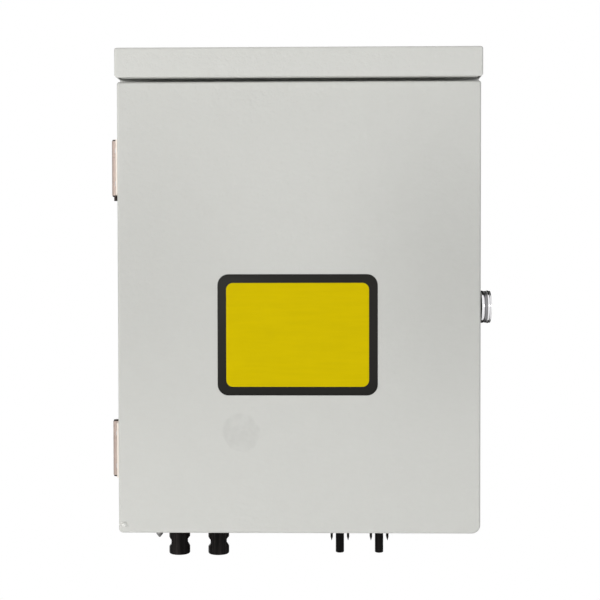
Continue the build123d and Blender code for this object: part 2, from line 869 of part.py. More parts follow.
with BuildPart() as din_rails:
    for level in rail_levels:
        with BuildSketch(Plane.YZ.offset(-rail_length / 2)):
            for side in (-1, 1):
                web = side * rail_web / 2
                lip = side * rail_width / 2
                with BuildLine():
                    Polyline(
                        (-plate_front, level),
                        (-plate_front, level + web),
                        (-rail_front + rail_sheet, level + web),
                        (-rail_front + rail_sheet, level + lip),
                        (-rail_front, level + lip),
                        (-rail_front, level + web - side * rail_sheet),
                        (-plate_front - rail_sheet, level + web - side * rail_sheet),
                        (-plate_front - rail_sheet, level),
                        close=True,
                    )
                make_face()
        extrude(amount=rail_length)
    with BuildSketch(Plane.XZ.offset(plate_front)):
        with Locations(*rail_screw_spots):
            Circle(m5_radius + running)
    extrude(amount=rail_sheet, mode=Mode.SUBTRACT)
save(din_rails, "din_rails")


def pan_screws(spots, seat_depth, grip):
    """Pan-head screws whose heads stand on seat_depth, passing grip back."""
    with BuildPart() as screws:
        with BuildSketch(Plane.XZ.offset(seat_depth)):
            with Locations(*spots):
                Circle(m5_head_radius)
        extrude(amount=m5_head)
        fillet(screws.faces().filter_by(Axis.Y).group_by(Axis.Y)[0].edges(), m5_head_round)
        with BuildSketch(Plane.XZ.offset(seat_depth)):
            with Locations(*spots):
                Circle(m5_radius)
        extrude(amount=-grip)
        with BuildSketch(Plane.XZ.offset(seat_depth + m5_head)):
            with Locations(*spots):
                Rectangle(2 * m5_radius, cross_slot)
                Rectangle(cross_slot, 2 * m5_radius)
        extrude(amount=-cross_depth, mode=Mode.SUBTRACT)
    return screws


rail_screws = pan_screws(rail_screw_spots, plate_front + rail_sheet, rail_sheet + plate_thick + m5_spare)
save(rail_screws, "rail_screws")


def rail_hooks(centre_x, width, level):
    """The upper and lower hooks that hold a device on a rail."""
    for side in (-1, 1):
        outer = level + side * (rail_width / 2 + touch)
        inner = level + side * (rail_width / 2 - hook_reach)
        far = outer + side * hook_thick
        lip_front = rail_front - rail_sheet - touch
        with BuildSketch(Plane.YZ.offset(centre_x - width / 2)) as hook:
            with BuildLine():
                Polyline(
                    (-seat, outer),
                    (-seat, far),
                    (-lip_front + hook_depth, far),
                    (-lip_front + hook_depth, inner),
                    (-lip_front, inner),
                    (-lip_front, outer),
                    close=True,
                )
            make_face()
        extrude(hook.sketch, amount=width)


def block(centre_x, width, depth_from, depth_to, z_from, z_to, mode=Mode.ADD):
    """A plain block or pocket between two depths and two levels."""
    with BuildSketch(Plane.XZ.offset(depth_from)) as outline:
        with Locations((centre_x, (z_from + z_to) / 2)):
            Rectangle(width, abs(z_to - z_from))
    extrude(outline.sketch, amount=depth_to - depth_from, mode=mode)


def pocket(centre_x, width, depth_from, depth_to, z_from, z_to):
    """A plain pocket between two depths and two levels."""
    block(centre_x, width, depth_from, depth_to, z_from, z_to, Mode.SUBTRACT)


terminal_spots = []


def terminal(x, level, side, half_height, shoulder_depth):
    """Screw well and wire entry of one terminal on the upper (1) or lower (-1) end."""
    well_z = level + side * (half_height - terminal_inset)
    with BuildSketch(Plane.XZ.offset(shoulder_depth)) as well:
        with Locations((x, well_z)):
            Circle(terminal_well_radius)
    extrude(well.sketch, amount=-terminal_well, mode=Mode.SUBTRACT)
    with BuildSketch(Plane.XY.offset(level + side * half_height)) as entry:
        with Locations((x, -(shoulder_depth - entry_behind_shoulder))):
            Circle(wire_entry_radius)
    extrude(entry.sketch, amount=-side * wire_entry, mode=Mode.SUBTRACT)
    terminal_spots.append((x, well_z, shoulder_depth - terminal_well))


# ---------------------------------------------------------------- fuse holders
fuse_shoulder_depth = rail_front + fuse_shoulder
fuse_nose_depth = rail_front + fuse_nose
drawer_hinge_depth = fuse_nose_depth - (fuse_nose_half - drawer_top)
drawer_hinge_z = upper_rail_z - drawer_top
ear_round = fuse_nose_half - drawer_top
cavity_half = device_width / 2 - fuse_ear
channel_front = fuse_nose_depth - fuse_channel_inset
fuse_depth = channel_front - free - fuse_radius
cavity_floor = fuse_depth - fuse_radius - cavity_behind_link
carrier_back = cavity_floor + carrier_clear
face_back = fuse_nose_depth + touch
face_front = face_back + fuse_face
comb_depth = fuse_shoulder_depth - comb_behind_shoulder
fuse_top = upper_rail_z + fuse_half_height
fuse_bottom = upper_rail_z - fuse_half_height


def fuse_base(x):
    """A rail-mounted base with two ears that carry the drawer."""
    mid = upper_rail_z
    with BuildPart() as base:
        block(x, device_width, seat, fuse_shoulder_depth, fuse_bottom, fuse_top)
        fillet(base.edges().filter_by(Axis.X).group_by(Axis.Y)[0], shoulder_round)
        block(x, device_width, seat, fuse_nose_depth, mid - fuse_nose_half, mid + fuse_nose_half)
        lower_front = base.edges().filter_by(Axis.X).group_by(Axis.Y)[0].sort_by(Axis.Z)[0]
        fillet(lower_front, ear_round)
        rail_hooks(x, device_width, mid)
        cavity_low = drawer_hinge_z - cavity_below_pivot
        pocket(x, 2 * cavity_half, cavity_floor, fuse_nose_depth, cavity_low, mid + fuse_face_top)
        nose_low = mid - fuse_nose_half
        pocket(x, 2 * cavity_half, fuse_shoulder_depth, fuse_nose_depth, nose_low, drawer_hinge_z)
        spot = (-drawer_hinge_depth, drawer_hinge_z)
        half = device_width / 2
        disc_x(x - half, x + half, drawer_pivot_radius + running, spot, mode=Mode.SUBTRACT)
        for side in (-1, 1):
            terminal(x, mid, side, fuse_half_height, fuse_shoulder_depth)
        # slot for the comb's pin
        with BuildSketch(Plane.XY.offset(fuse_top)):
            with Locations((x, -comb_depth)):
                Rectangle(comb_pin_width + 2 * comb_slot_play, comb_thick + 2 * free)
        extrude(amount=-wire_entry, mode=Mode.SUBTRACT)
    return base.part


def fuse_drawer(x):
    """A drawer that swings out on its lower end and carries the link in its back."""
    mid = upper_rail_z
    foot = drawer_hinge_z - drawer_tail
    carrier_width = 2 * (cavity_half - free)
    with BuildPart() as drawer:
        block(x, device_width, face_back, face_front, foot, mid + fuse_face_top)
        fillet(drawer.faces().sort_by(Axis.Y)[0].edges(), drawer_round)
        carrier_low = drawer_hinge_z - carrier_below_pivot
        block(x, carrier_width, carrier_back, face_back, carrier_low, mid + drawer_top)
        grip_low = mid + drawer_top - drawer_grip_height
        grip_front = face_front + drawer_grip
        block(x, device_width * drawer_grip_share, face_front, grip_front, grip_low, mid + drawer_top)
        fillet(drawer.faces().sort_by(Axis.Y)[0].edges(), nose_round)
        link_half = fuse_length / 2 + free
        pocket(x, 2 * (fuse_radius + free), carrier_back, channel_front, mid - link_half, mid + link_half)
        spot = (-drawer_hinge_depth, drawer_hinge_z)
        for side in (-1, 1):
            start = x + side * carrier_width / 2
            disc_x(start, start + side * fuse_ear, drawer_pivot_radius, spot)
        # window over the blown-fuse lamp
        lamp_low = mid - lamp_below_mid
        pocket(x, lamp_width, face_front - lamp_sink, face_front, lamp_low, lamp_low + lamp_height)
    return drawer


def fuse_link(x):
    """A ceramic tube with a metal cap on each end, as one solid."""
    with BuildPart() as link:
        with BuildSketch(Plane.XY.offset(upper_rail_z - fuse_length / 2)):
            with Locations((x, -fuse_depth)):
                Circle(fuse_radius - fuse_cap_lip)
        extrude(amount=fuse_length)
        for start in (-fuse_length / 2, fuse_length / 2 - fuse_cap_length):
            with BuildSketch(Plane.XY.offset(upper_rail_z + start)):
                with Locations((x, -fuse_depth)):
                    Circle(fuse_radius)
            extrude(amount=fuse_cap_length)
    return link


fuse_base_bodies = [fuse_base(column) for column in fuse_columns]
with BuildPart() as fuse_bases:
    add(fuse_base_bodies)
save(fuse_bases, "fuse_bases")

for number, column in enumerate(fuse_columns, start=1):
    save(fuse_drawer(column), f"fuse_drawer_{number}")
    save(fuse_link(column), f"fuse_link_{number}")

with BuildPart() as comb_busbars:
    for pair in (fuse_columns[:2], fuse_columns[2:]):
        centre = sum(pair) / 2
        span = pair[1] - pair[0] + comb_pin_width + 2 * comb_end
        comb_back = comb_depth - comb_thick / 2
        comb_front = comb_depth + comb_thick / 2
        block(centre, span, comb_back, comb_front, fuse_top, fuse_top + comb_height)
        for column in pair:
            block(column, comb_pin_width, comb_back, comb_front, fuse_top - wire_entry, fuse_top)
save(comb_busbars, "comb_busbars")

# ---------------------------------------------------------------- breaker
breaker_width = breaker_poles * module - module_gap
breaker_shoulder_depth = rail_front + breaker_shoulder
breaker_nose_depth = rail_front + breaker_nose
toggle_depth = breaker_nose_depth - toggle_sink
toggle_spot = (-toggle_depth, lower_rail_z)
breaker_columns = (-module / 2, module / 2)
breaker_top = lower_rail_z + breaker_half_height
breaker_bottom = lower_rail_z - breaker_half_height
nose_top = lower_rail_z + breaker_nose_half
nose_bottom = lower_rail_z - breaker_nose_half
toggle_room = toggle_half_width + touch
pivot_half = toggle_half_width + toggle_pivot_reach
pivot_room = pivot_half + touch

with BuildPart() as breaker_body:
    block(0, breaker_width, seat, breaker_shoulder_depth, breaker_bottom, breaker_top)
    fillet(breaker_body.edges().filter_by(Axis.X).group_by(Axis.Y)[0], shoulder_round)
    block(0, breaker_width, seat, breaker_nose_depth, nose_bottom, nose_top)
    fillet(breaker_body.edges().filter_by(Axis.X).group_by(Axis.Y)[0], nose_round)
    rail_hooks(0, breaker_width, lower_rail_z)
    disc_x(-toggle_room, toggle_room, toggle_radius + touch, toggle_spot, mode=Mode.SUBTRACT)
    disc_x(-pivot_room, pivot_room, toggle_pivot_radius + running, toggle_spot, mode=Mode.SUBTRACT)
    for column in breaker_columns:
        for side in (-1, 1):
            terminal(column, lower_rail_z, side, breaker_half_height, breaker_shoulder_depth)
    # groove between the two poles
    pocket(0, pole_groove, breaker_nose_depth - pole_groove, breaker_nose_depth, nose_bottom, nose_top)
save(breaker_body, "breaker_body")

with BuildPart() as breaker_toggle:
    disc_x(-toggle_half_width, toggle_half_width, toggle_radius, toggle_spot)
    lever_plane = Plane(
        origin=(0, -toggle_depth, lower_rail_z), x_dir=(1, 0, 0), z_dir=(0, -1, 0)
    ).rotated((-toggle_throw, 0, 0))
    with BuildSketch(lever_plane):
        Rectangle(2 * (toggle_half_width - toggle_lever_inset), toggle_lever_thick)
    extrude(amount=toggle_lever)
    lever_end = breaker_toggle.faces().sort_by(Axis((0, 0, 0), lever_plane.z_dir))[-1]
    fillet(lever_end.edges(), toggle_lever_round)
    disc_x(-pivot_half, pivot_half, toggle_pivot_radius, toggle_spot)
save(breaker_toggle, "breaker_toggle")

# ---------------------------------------------------------------- surge arrester
spd_width = spd_poles * module - module_gap
spd_shoulder_depth = rail_front + breaker_shoulder
spd_floor_depth = rail_front + spd_floor
cartridge_back = spd_floor_depth + touch
cartridge_front = rail_front + spd_cartridge_front
spd_columns = [(pole - (spd_poles - 1) / 2) * module for pole in range(spd_poles)]
spd_top = upper_rail_z + spd_half_height
spd_bottom = upper_rail_z - spd_half_height

with BuildPart() as spd_base:
    block(0, spd_width, seat, spd_floor_depth, spd_bottom, spd_top)
    for side in (-1, 1):
        inner_end = upper_rail_z + side * (spd_cartridge_half + touch)
        outer_end = upper_rail_z + side * spd_half_height
        block(0, spd_width, seat, spd_shoulder_depth, inner_end, outer_end)
    fillet(spd_base.edges().filter_by(Axis.X).group_by(Axis.Y)[0], shoulder_round)
    rail_hooks(0, spd_width, upper_rail_z)
    for column in spd_columns:
        terminal(column, upper_rail_z, 1, spd_half_height, spd_shoulder_depth)
        terminal(column, upper_rail_z, -1, spd_half_height, spd_shoulder_depth)
        for side in (-1, 1):
            spot = upper_rail_z + side * blade_spread
            slot_back = spd_floor_depth - blade_length - blade_spare
            slot_half = blade_width / 2 + touch
            slot_width = blade_thick + 2 * touch
            pocket(column, slot_width, slot_back, spd_floor_depth, spot - slot_half, spot + slot_half)
save(spd_base, "spd_base")

for number, column in enumerate(spd_columns, start=1):
    with BuildPart() as cartridge:
        block(
            column, device_width, cartridge_back, cartridge_front,
            upper_rail_z - spd_cartridge_half, upper_rail_z + spd_cartridge_half,
        )
        fillet(cartridge.faces().sort_by(Axis.Y)[0].edges(), cartridge_round)
        for side in (-1, 1):
            spot = upper_rail_z + side * blade_spread
            block(
                column, blade_thick, cartridge_back - blade_length, cartridge_back,
                spot - blade_width / 2, spot + blade_width / 2,
            )
            # finger grooves across the upper and lower ends
            groove_front = cartridge_front - finger_groove_behind
            groove_outer = upper_rail_z + side * spd_cartridge_half
            groove_inner = groove_outer - side * finger_groove_depth
            pocket(
                column,
                device_width,
                groove_front - finger_groove_width,
                groove_front,
                groove_outer,
                groove_inner,
            )
        status_low = upper_rail_z + status_above_mid
        status_back = cartridge_front - status_sink
        pocket(column, status_width, status_back, cartridge_front, status_low, status_low + status_height)
    save(cartridge, f"spd_cartridge_{number}")

# ---------------------------------------------------------------- terminal screws
with BuildPart() as terminal_screws:
    for x, z, depth in terminal_spots:
        with BuildSketch(Plane.XZ.offset(depth)):
            with Locations((x, z)):
                Circle(terminal_screw_radius)
        extrude(amount=terminal_screw)
        with BuildSketch(Plane.XZ.offset(depth + terminal_screw)):
            with Locations((x, z)):
                Rectangle(2 * terminal_screw_radius, terminal_slot)
                Rectangle(terminal_slot, terminal_screw_radius)
        extrude(amount=-terminal_slot_depth, mode=Mode.SUBTRACT)
save(terminal_screws, "terminal_screws")

# ---------------------------------------------------------------- earth bar
earth_way_x = [earth_bar_x + (way - (earth_ways - 1) / 2) * earth_way_pitch for way in range(earth_ways)]
earth_bar_back = plate_front + earth_post
earth_bar_front = earth_bar_back + earth_bar_thick
bar_top = earth_bar_z + earth_bar_height / 2
bar_bottom = earth_bar_z - earth_bar_height / 2

with BuildPart() as earth_bar:
    block(earth_bar_x, earth_bar_length, earth_bar_back, earth_bar_front, bar_bottom, bar_top)
    with BuildSketch(Plane.XY.offset(bar_bottom)):
        with Locations(*[(x, -earth_bar_depth) for x in earth_way_x]):
            Circle(wire_radius + free)
    extrude(amount=earth_bar_height, mode=Mode.SUBTRACT)
    with BuildSketch(Plane.XZ.offset(earth_bar_front)):
        with Locations(*[(x, earth_bar_z) for x in earth_way_x]):
            Circle(terminal_screw_radius + running)
    extrude(amount=-(earth_bar_thick / 2 - wire_radius), mode=Mode.SUBTRACT)
    with BuildSketch(Plane.XZ.offset(earth_bar_back)):
        with Locations(*earth_post_spots):
            Circle(m5_radius + running)
    extrude(amount=earth_bar_thick, mode=Mode.SUBTRACT)
save(earth_bar, "earth_bar")

with BuildPart() as earth_bar_posts:
    with BuildSketch(Plane.XZ.offset(plate_front)):
        with Locations(*earth_post_spots):
            Circle(earth_post_radius)
            Circle(m5_radius + running, mode=Mode.SUBTRACT)
    extrude(amount=earth_post)
save(earth_bar_posts, "earth_bar_posts")

earth_screw_grip = earth_bar_thick + earth_post + plate_thick + m5_spare
earth_fixings = pan_screws(earth_post_spots, earth_bar_front, earth_screw_grip)
earth_screw_sink = earth_bar_thick / 2 - wire_radius
with BuildPart() as earth_bar_screws:
    add(earth_fixings.part)
    with BuildSketch(Plane.XZ.offset(earth_bar_front - earth_screw_sink)):
        with Locations(*[(x, earth_bar_z) for x in earth_way_x]):
            Circle(terminal_screw_radius)
    extrude(amount=earth_screw_sink + earth_screw_proud)
    with BuildSketch(Plane.XZ.offset(earth_bar_front + earth_screw_proud)):
        with Locations(*[(x, earth_bar_z) for x in earth_way_x]):
            Rectangle(2 * terminal_screw_radius, terminal_slot)
    extrude(amount=-terminal_slot_depth, mode=Mode.SUBTRACT)
save(earth_bar_screws, "earth_bar_screws")

# ---------------------------------------------------------------- earth stud
stud_place = (earth_stud_x, -connector_depth)
stud_tip = z_bottom - earth_stud_drop
stud_top = floor + earth_stud_rise
lug_level = floor + m6_nut
with BuildPart() as earth_stud:
    with BuildSketch(Plane.XY.offset(stud_tip)):
        with Locations(stud_place):
            Circle(m6_radius)
    extrude(amount=stud_top - stud_tip)
    point_edge = earth_stud.faces().sort_by(Axis.Z)[0].edges()
    chamfer(point_edge, earth_stud_point, m6_radius - earth_stud_tip_radius)
save(earth_stud, "earth_stud")

earth_nut_levels = (floor, lug_level + lug_thick, z_bottom - washer - m6_nut)
earth_nut_bodies = [
    nut(m6_nut_flats, m6_nut, m6_radius + running, (*stud_place, level)) for level in earth_nut_levels
]
with BuildPart() as earth_nuts:
    add(earth_nut_bodies)
    with BuildSketch(Plane.XY.offset(z_bottom - washer)):
        with Locations(stud_place):
            Circle(washer_radius)
            Circle(m6_radius + free, mode=Mode.SUBTRACT)
    extrude(amount=washer)
save(earth_nuts, "earth_nuts")

lug_end = connector_depth - lug_neck - lug_length
lug_axis = lug_level + lug_barrel_radius
with BuildPart() as earth_lug:
    with BuildSketch(Plane.XY.offset(lug_level)):
        with Locations(stud_place):
            Circle(washer_radius)
            with Locations((0, (lug_neck + lug_overlap) / 2)):
                Rectangle(2 * lug_barrel_radius, lug_neck + lug_overlap)
            Circle(m6_radius + free, mode=Mode.SUBTRACT)
    extrude(amount=lug_thick)
    with BuildSketch(Plane.XZ.offset(lug_end)):
        with Locations((earth_stud_x, lug_axis)):
            Circle(lug_barrel_radius)
    extrude(amount=lug_length)
    with BuildSketch(Plane.XZ.offset(lug_end)):
        with Locations((earth_stud_x, lug_axis)):
            Circle(wire_radius + running)
    extrude(amount=wire_entry, mode=Mode.SUBTRACT)
save(earth_lug, "earth_lug")

# ---------------------------------------------------------------- panel connectors
seal_bottom = z_bottom - connector_seal
flange_bottom = seal_bottom - connector_flange
thread_top = floor + connector_thread
tail_top = thread_top + connector_tail


def round_z(place, z_from, z_to, radius, mode=Mode.ADD):
    """A round bar or hole along Z."""
    with BuildSketch(Plane.XY.offset(z_from)) as section:
        with Locations(place):
            Circle(radius)
    extrude(section.sketch, amount=z_to - z_from, mode=mode)


def connector_stem(place):
    """What both kinds of connector share: flange, thread through the wall, tail with its wire entry."""
    round_z(place, flange_bottom, seal_bottom, connector_flange_radius)
    round_z(place, flange_bottom, thread_top, connector_thread_radius)
    round_z(place, thread_top, tail_top, connector_tail_radius)
    round_z(place, tail_top - wire_entry, tail_top, wire_radius + free, Mode.SUBTRACT)


wide_tip = z_bottom - wide_drop
wide_roof = wide_tip + wide_bore
slim_tip = z_bottom - slim_drop
collar_bottom = z_bottom - slim_collar
contact_top = wide_roof + contact_base
socket_top = collar_bottom + contact_base


def wide_connector(column):
    """A wide socket body with the two flat notches that a latch's prongs spring into."""
    place = (column, -connector_depth)
    with BuildPart() as wide:
        round_z(place, wide_tip, flange_bottom, wide_radius)
        fillet(wide.faces().sort_by(Axis.Z)[0].edges(), wide_foot_round)
        with BuildSketch(Plane.XZ.offset(connector_depth - wide_radius)):
            for side in (-1, 1):
                inner = column + side * wide_neck_half
                outer = column + side * (wide_radius + wide_neck_margin)
                with BuildLine():
                    Polyline(
                        (inner, z_bottom - wide_neck_low + wide_neck_ramp),
                        (outer, z_bottom - wide_neck_low - wide_neck_margin),
                        (outer, z_bottom - wide_neck_high + wide_neck_margin),
                        (inner, z_bottom - wide_neck_high - wide_neck_ramp),
                        close=True,
                    )
                make_face()
        extrude(amount=2 * wide_radius, mode=Mode.SUBTRACT)
        connector_stem(place)
        round_z(place, wide_tip, wide_roof, wide_bore_radius, Mode.SUBTRACT)
        round_z(place, wide_roof, contact_top, contact_base_radius + running, Mode.SUBTRACT)
    return wide.part


def slim_connector(column):
    """A slim plug body with two springy prongs that end in points."""
    place = (column, -connector_depth)
    with BuildPart() as slim:
        round_z(place, slim_tip, flange_bottom, slim_radius)
        fillet(slim.faces().sort_by(Axis.Z)[0].edges(), slim_tip_round)
        round_z(place, collar_bottom, flange_bottom, slim_collar_radius)
        with BuildSketch(Plane.XZ.offset(connector_depth - prong_width / 2)):
            for side in (-1, 1):
                middle = column + side * prong_offset
                with BuildLine():
                    Polyline(
                        (middle - prong_thick / 2, collar_bottom),
                        (middle + prong_thick / 2, collar_bottom),
                        (middle + prong_thick / 2, z_bottom - prong_drop + prong_point),
                        (middle, z_bottom - prong_drop),
                        (middle - prong_thick / 2, z_bottom - prong_drop + prong_point),
                        close=True,
                    )
                make_face()
        extrude(amount=prong_width)
        connector_stem(place)
        round_z(place, slim_tip, socket_top, slim_bore_radius, Mode.SUBTRACT)
    return slim.part


wide_bodies = [wide_connector(column) for column in wide_columns]
with BuildPart() as wide_connectors:
    add(wide_bodies)
save(wide_connectors, "wide_connectors")

slim_bodies = [slim_connector(column) for column in slim_columns]
with BuildPart() as slim_connectors:
    add(slim_bodies)
save(slim_connectors, "slim_connectors")

with BuildPart() as connector_contacts:
    for column in wide_columns:
        place = (column, -connector_depth)
        round_z(place, wide_tip + contact_stop, wide_roof, pin_radius)
        round_z(place, wide_roof, contact_top, contact_base_radius)
    for column in slim_columns:
        place = (column, -connector_depth)
        round_z(place, slim_tip + contact_stop, socket_top, socket_radius)
        round_z(place, slim_tip + contact_stop, collar_bottom, pin_radius + running, Mode.SUBTRACT)
save(connector_contacts, "connector_contacts")

all_columns = wide_columns + slim_columns
with BuildPart() as connector_seals:
    with BuildSketch(Plane.XY.offset(seal_bottom)):
        with Locations(*[(x, -connector_depth) for x in all_columns]):
            Circle(connector_seal_radius)
            Circle(connector_thread_radius + running, mode=Mode.SUBTRACT)
    extrude(amount=connector_seal)
save(connector_seals, "connector_seals")

locknut_places = [(column, -connector_depth, floor) for column in all_columns]
connector_bore = connector_thread_radius + running
locknut_bodies = [nut(connector_nut_flats, connector_nut, connector_bore, place) for place in locknut_places]
with BuildPart() as connector_locknuts:
    add(locknut_bodies)
save(connector_locknuts, "connector_locknuts")

# ---------------------------------------------------------------- cable glands
gland_places = [(x, -gland_depth) for x in gland_columns]
hex_bottom = z_bottom - gland_hex
cap_bottom = hex_bottom - gland_cap
cap_bore = gland_cap_radius - gland_cap_wall
neck_bottom = hex_bottom - gland_cap / 2

with BuildPart() as gland_bodies:
    for place in gland_places:
        with BuildSketch(Plane.XY.offset(hex_bottom)):
            with Locations(place):
                RegularPolygon(radius=gland_flats / 2, side_count=6, major_radius=False)
        extrude(amount=gland_hex)
        round_z(place, z_bottom, floor + gland_thread, gland_thread_radius)
        round_z(place, neck_bottom, hex_bottom, cap_bore - running)
        round_z(place, neck_bottom, floor + gland_thread, gland_bore_radius, Mode.SUBTRACT)
save(gland_bodies, "gland_bodies")

with BuildPart() as gland_caps:
    for place in gland_places:
        round_z(place, cap_bottom, hex_bottom, gland_cap_radius)
    fillet(gland_caps.faces().filter_by(Plane.XY).group_by(Axis.Z)[0].edges(), gland_cap_round)
    for place in gland_places:
        round_z(place, cap_bottom + gland_cap_lip, hex_bottom, cap_bore, Mode.SUBTRACT)
        round_z(place, cap_bottom, hex_bottom, gland_bore_radius, Mode.SUBTRACT)
save(gland_caps, "gland_caps")

with BuildPart() as gland_seals:
    for place in gland_places:
        round_z(place, cap_bottom + gland_cap_lip, neck_bottom, cap_bore - running)
        round_z(place, cap_bottom + gland_cap_lip, neck_bottom, gland_seal_bore, Mode.SUBTRACT)
save(gland_seals, "gland_seals")

gland_bore = gland_thread_radius + running
gland_nut_bodies = [nut(gland_nut_flats, gland_nut, gland_bore, (*place, floor)) for place in gland_places]
with BuildPart() as gland_locknuts:
    add(gland_nut_bodies)
save(gland_locknuts, "gland_locknuts")

# ---------------------------------------------------------------- wires
fuse_entry = fuse_shoulder_depth - entry_behind_shoulder
device_entry = breaker_shoulder_depth - entry_behind_shoulder
wire_start = tail_top - wire_entry
fuse_low_end = fuse_bottom + wire_entry
fuse_high_end = fuse_top - wire_entry
corridor = spd_width / 2 + bus_corridor
bus_top = fuse_top + bus_loop
feed_top = fuse_top + feed_loop


def string_wire(from_x, to_x):
    """From a panel connector's tail up to the lower terminal of its fuse holder."""
    return [
        (from_x, connector_depth, wire_start),
        (from_x, connector_depth, wire_start + wire_rise),
        (to_x, fuse_entry, string_slack_z),
        (to_x, fuse_entry, fuse_low_end),
    ]


def bus_wire(fuse_x, breaker_x, side):
    """From a fuse holder's upper terminal round and down to the breaker."""
    return [
        (fuse_x, fuse_entry, fuse_high_end),
        (fuse_x, fuse_entry, bus_top),
        (side * corridor, fuse_entry + bus_step, bus_top),
        (side * corridor, device_entry, breaker_top + bus_turn),
        (breaker_x, device_entry, breaker_top + breaker_run),
        (breaker_x, device_entry, breaker_top - wire_entry),
    ]


def feed_wire(fuse_x, spd_x):
    """From a fuse holder's upper terminal over to the surge arrester."""
    return [
        (fuse_x, fuse_entry, fuse_high_end),
        (fuse_x, fuse_entry, feed_top),
        (spd_x, device_entry, feed_top),
        (spd_x, device_entry, spd_top - wire_entry),
    ]


red_wires = lay_wires(
    [
        string_wire(wide_columns[0], fuse_columns[0]),
        string_wire(wide_columns[1], fuse_columns[1]),
        bus_wire(fuse_columns[1], breaker_columns[0], -1),
        feed_wire(fuse_columns[0], spd_columns[0]),
    ],
    "red_wires",
)
save(red_wires, "red_wires")
black_wires = lay_wires(
    [
        string_wire(slim_columns[0], fuse_columns[2]),
        string_wire(slim_columns[1], fuse_columns[3]),
        bus_wire(fuse_columns[2], breaker_columns[1], 1),
        feed_wire(fuse_columns[3], spd_columns[-1]),
    ],
    "black_wires",
)
save(black_wires, "black_wires")

surge_earth = [
    (spd_columns[1], device_entry, spd_bottom + wire_entry),
    (spd_columns[1], device_entry, spd_bottom - surge_earth_run),
    (spd_columns[1] + surge_earth_step, earth_bar_depth, spd_bottom - surge_earth_fall),
    (earth_way_x[2], earth_bar_depth, spd_bottom - surge_earth_fall),
    (earth_way_x[2], earth_bar_depth, bar_top - wire_entry),
]
stud_earth = [
    (earth_way_x[0], earth_bar_depth, bar_bottom + wire_entry),
    (earth_way_x[0], earth_bar_depth, bar_bottom - stud_earth_run),
    (earth_stud_x + stud_earth_turn, earth_bar_depth - stud_earth_back, bar_bottom - stud_earth_fall),
    (earth_stud_x, earth_bar_depth + stud_earth_forward, lug_axis),
    (earth_stud_x, lug_end + wire_entry, lug_axis),
]
earth_wires = lay_wires([surge_earth, stud_earth], "earth_wires")
save(earth_wires, "earth_wires")
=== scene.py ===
"""Finishes and fine detail for a wall-mounted DC combiner box, laid out as a Blender add-on."""

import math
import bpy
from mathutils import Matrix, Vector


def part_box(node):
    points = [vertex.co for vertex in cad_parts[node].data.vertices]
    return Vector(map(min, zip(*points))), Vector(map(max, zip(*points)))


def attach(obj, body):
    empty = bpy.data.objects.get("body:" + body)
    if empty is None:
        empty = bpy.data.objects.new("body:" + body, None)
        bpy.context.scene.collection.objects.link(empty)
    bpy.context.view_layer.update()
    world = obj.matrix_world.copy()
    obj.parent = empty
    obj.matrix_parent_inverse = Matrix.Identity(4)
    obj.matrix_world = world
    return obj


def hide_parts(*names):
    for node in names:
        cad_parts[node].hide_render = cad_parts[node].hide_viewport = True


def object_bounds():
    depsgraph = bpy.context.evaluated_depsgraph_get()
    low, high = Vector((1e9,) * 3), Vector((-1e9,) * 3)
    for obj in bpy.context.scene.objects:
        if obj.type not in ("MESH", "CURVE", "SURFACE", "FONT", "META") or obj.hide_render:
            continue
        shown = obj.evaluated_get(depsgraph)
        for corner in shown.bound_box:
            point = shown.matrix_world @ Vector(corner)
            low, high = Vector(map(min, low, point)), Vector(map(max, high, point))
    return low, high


bl_info = {
    "name": "Combiner box finishes",
    "version": (1, 0, 0),
    "blender": (4, 5, 0),
    "location": "View3D > Sidebar > Combiner box",
    "description": "Dresses a sheet-steel DC combiner box and sets its studio",
    "category": "Object",
}

from functools import cache

import bmesh
import bpy
from bpy.props import FloatProperty, FloatVectorProperty, IntProperty, PointerProperty
from mathutils import Matrix, Vector

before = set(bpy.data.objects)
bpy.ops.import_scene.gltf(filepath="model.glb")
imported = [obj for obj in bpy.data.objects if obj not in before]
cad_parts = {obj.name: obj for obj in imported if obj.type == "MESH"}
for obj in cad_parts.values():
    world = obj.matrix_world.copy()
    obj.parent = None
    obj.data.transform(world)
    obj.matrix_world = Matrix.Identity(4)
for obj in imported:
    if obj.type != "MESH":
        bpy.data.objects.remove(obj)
CAD_BOX = [list(corner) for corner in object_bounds()]

MM = 0.001
IMAGE_SIDE = 600
SENSOR = 36.0
ACROSS = (1, 0, 0)
FORWARD = (0, -1, 0)
UP = (0, 0, 1)


# ---------------------------------------------------------------- settings


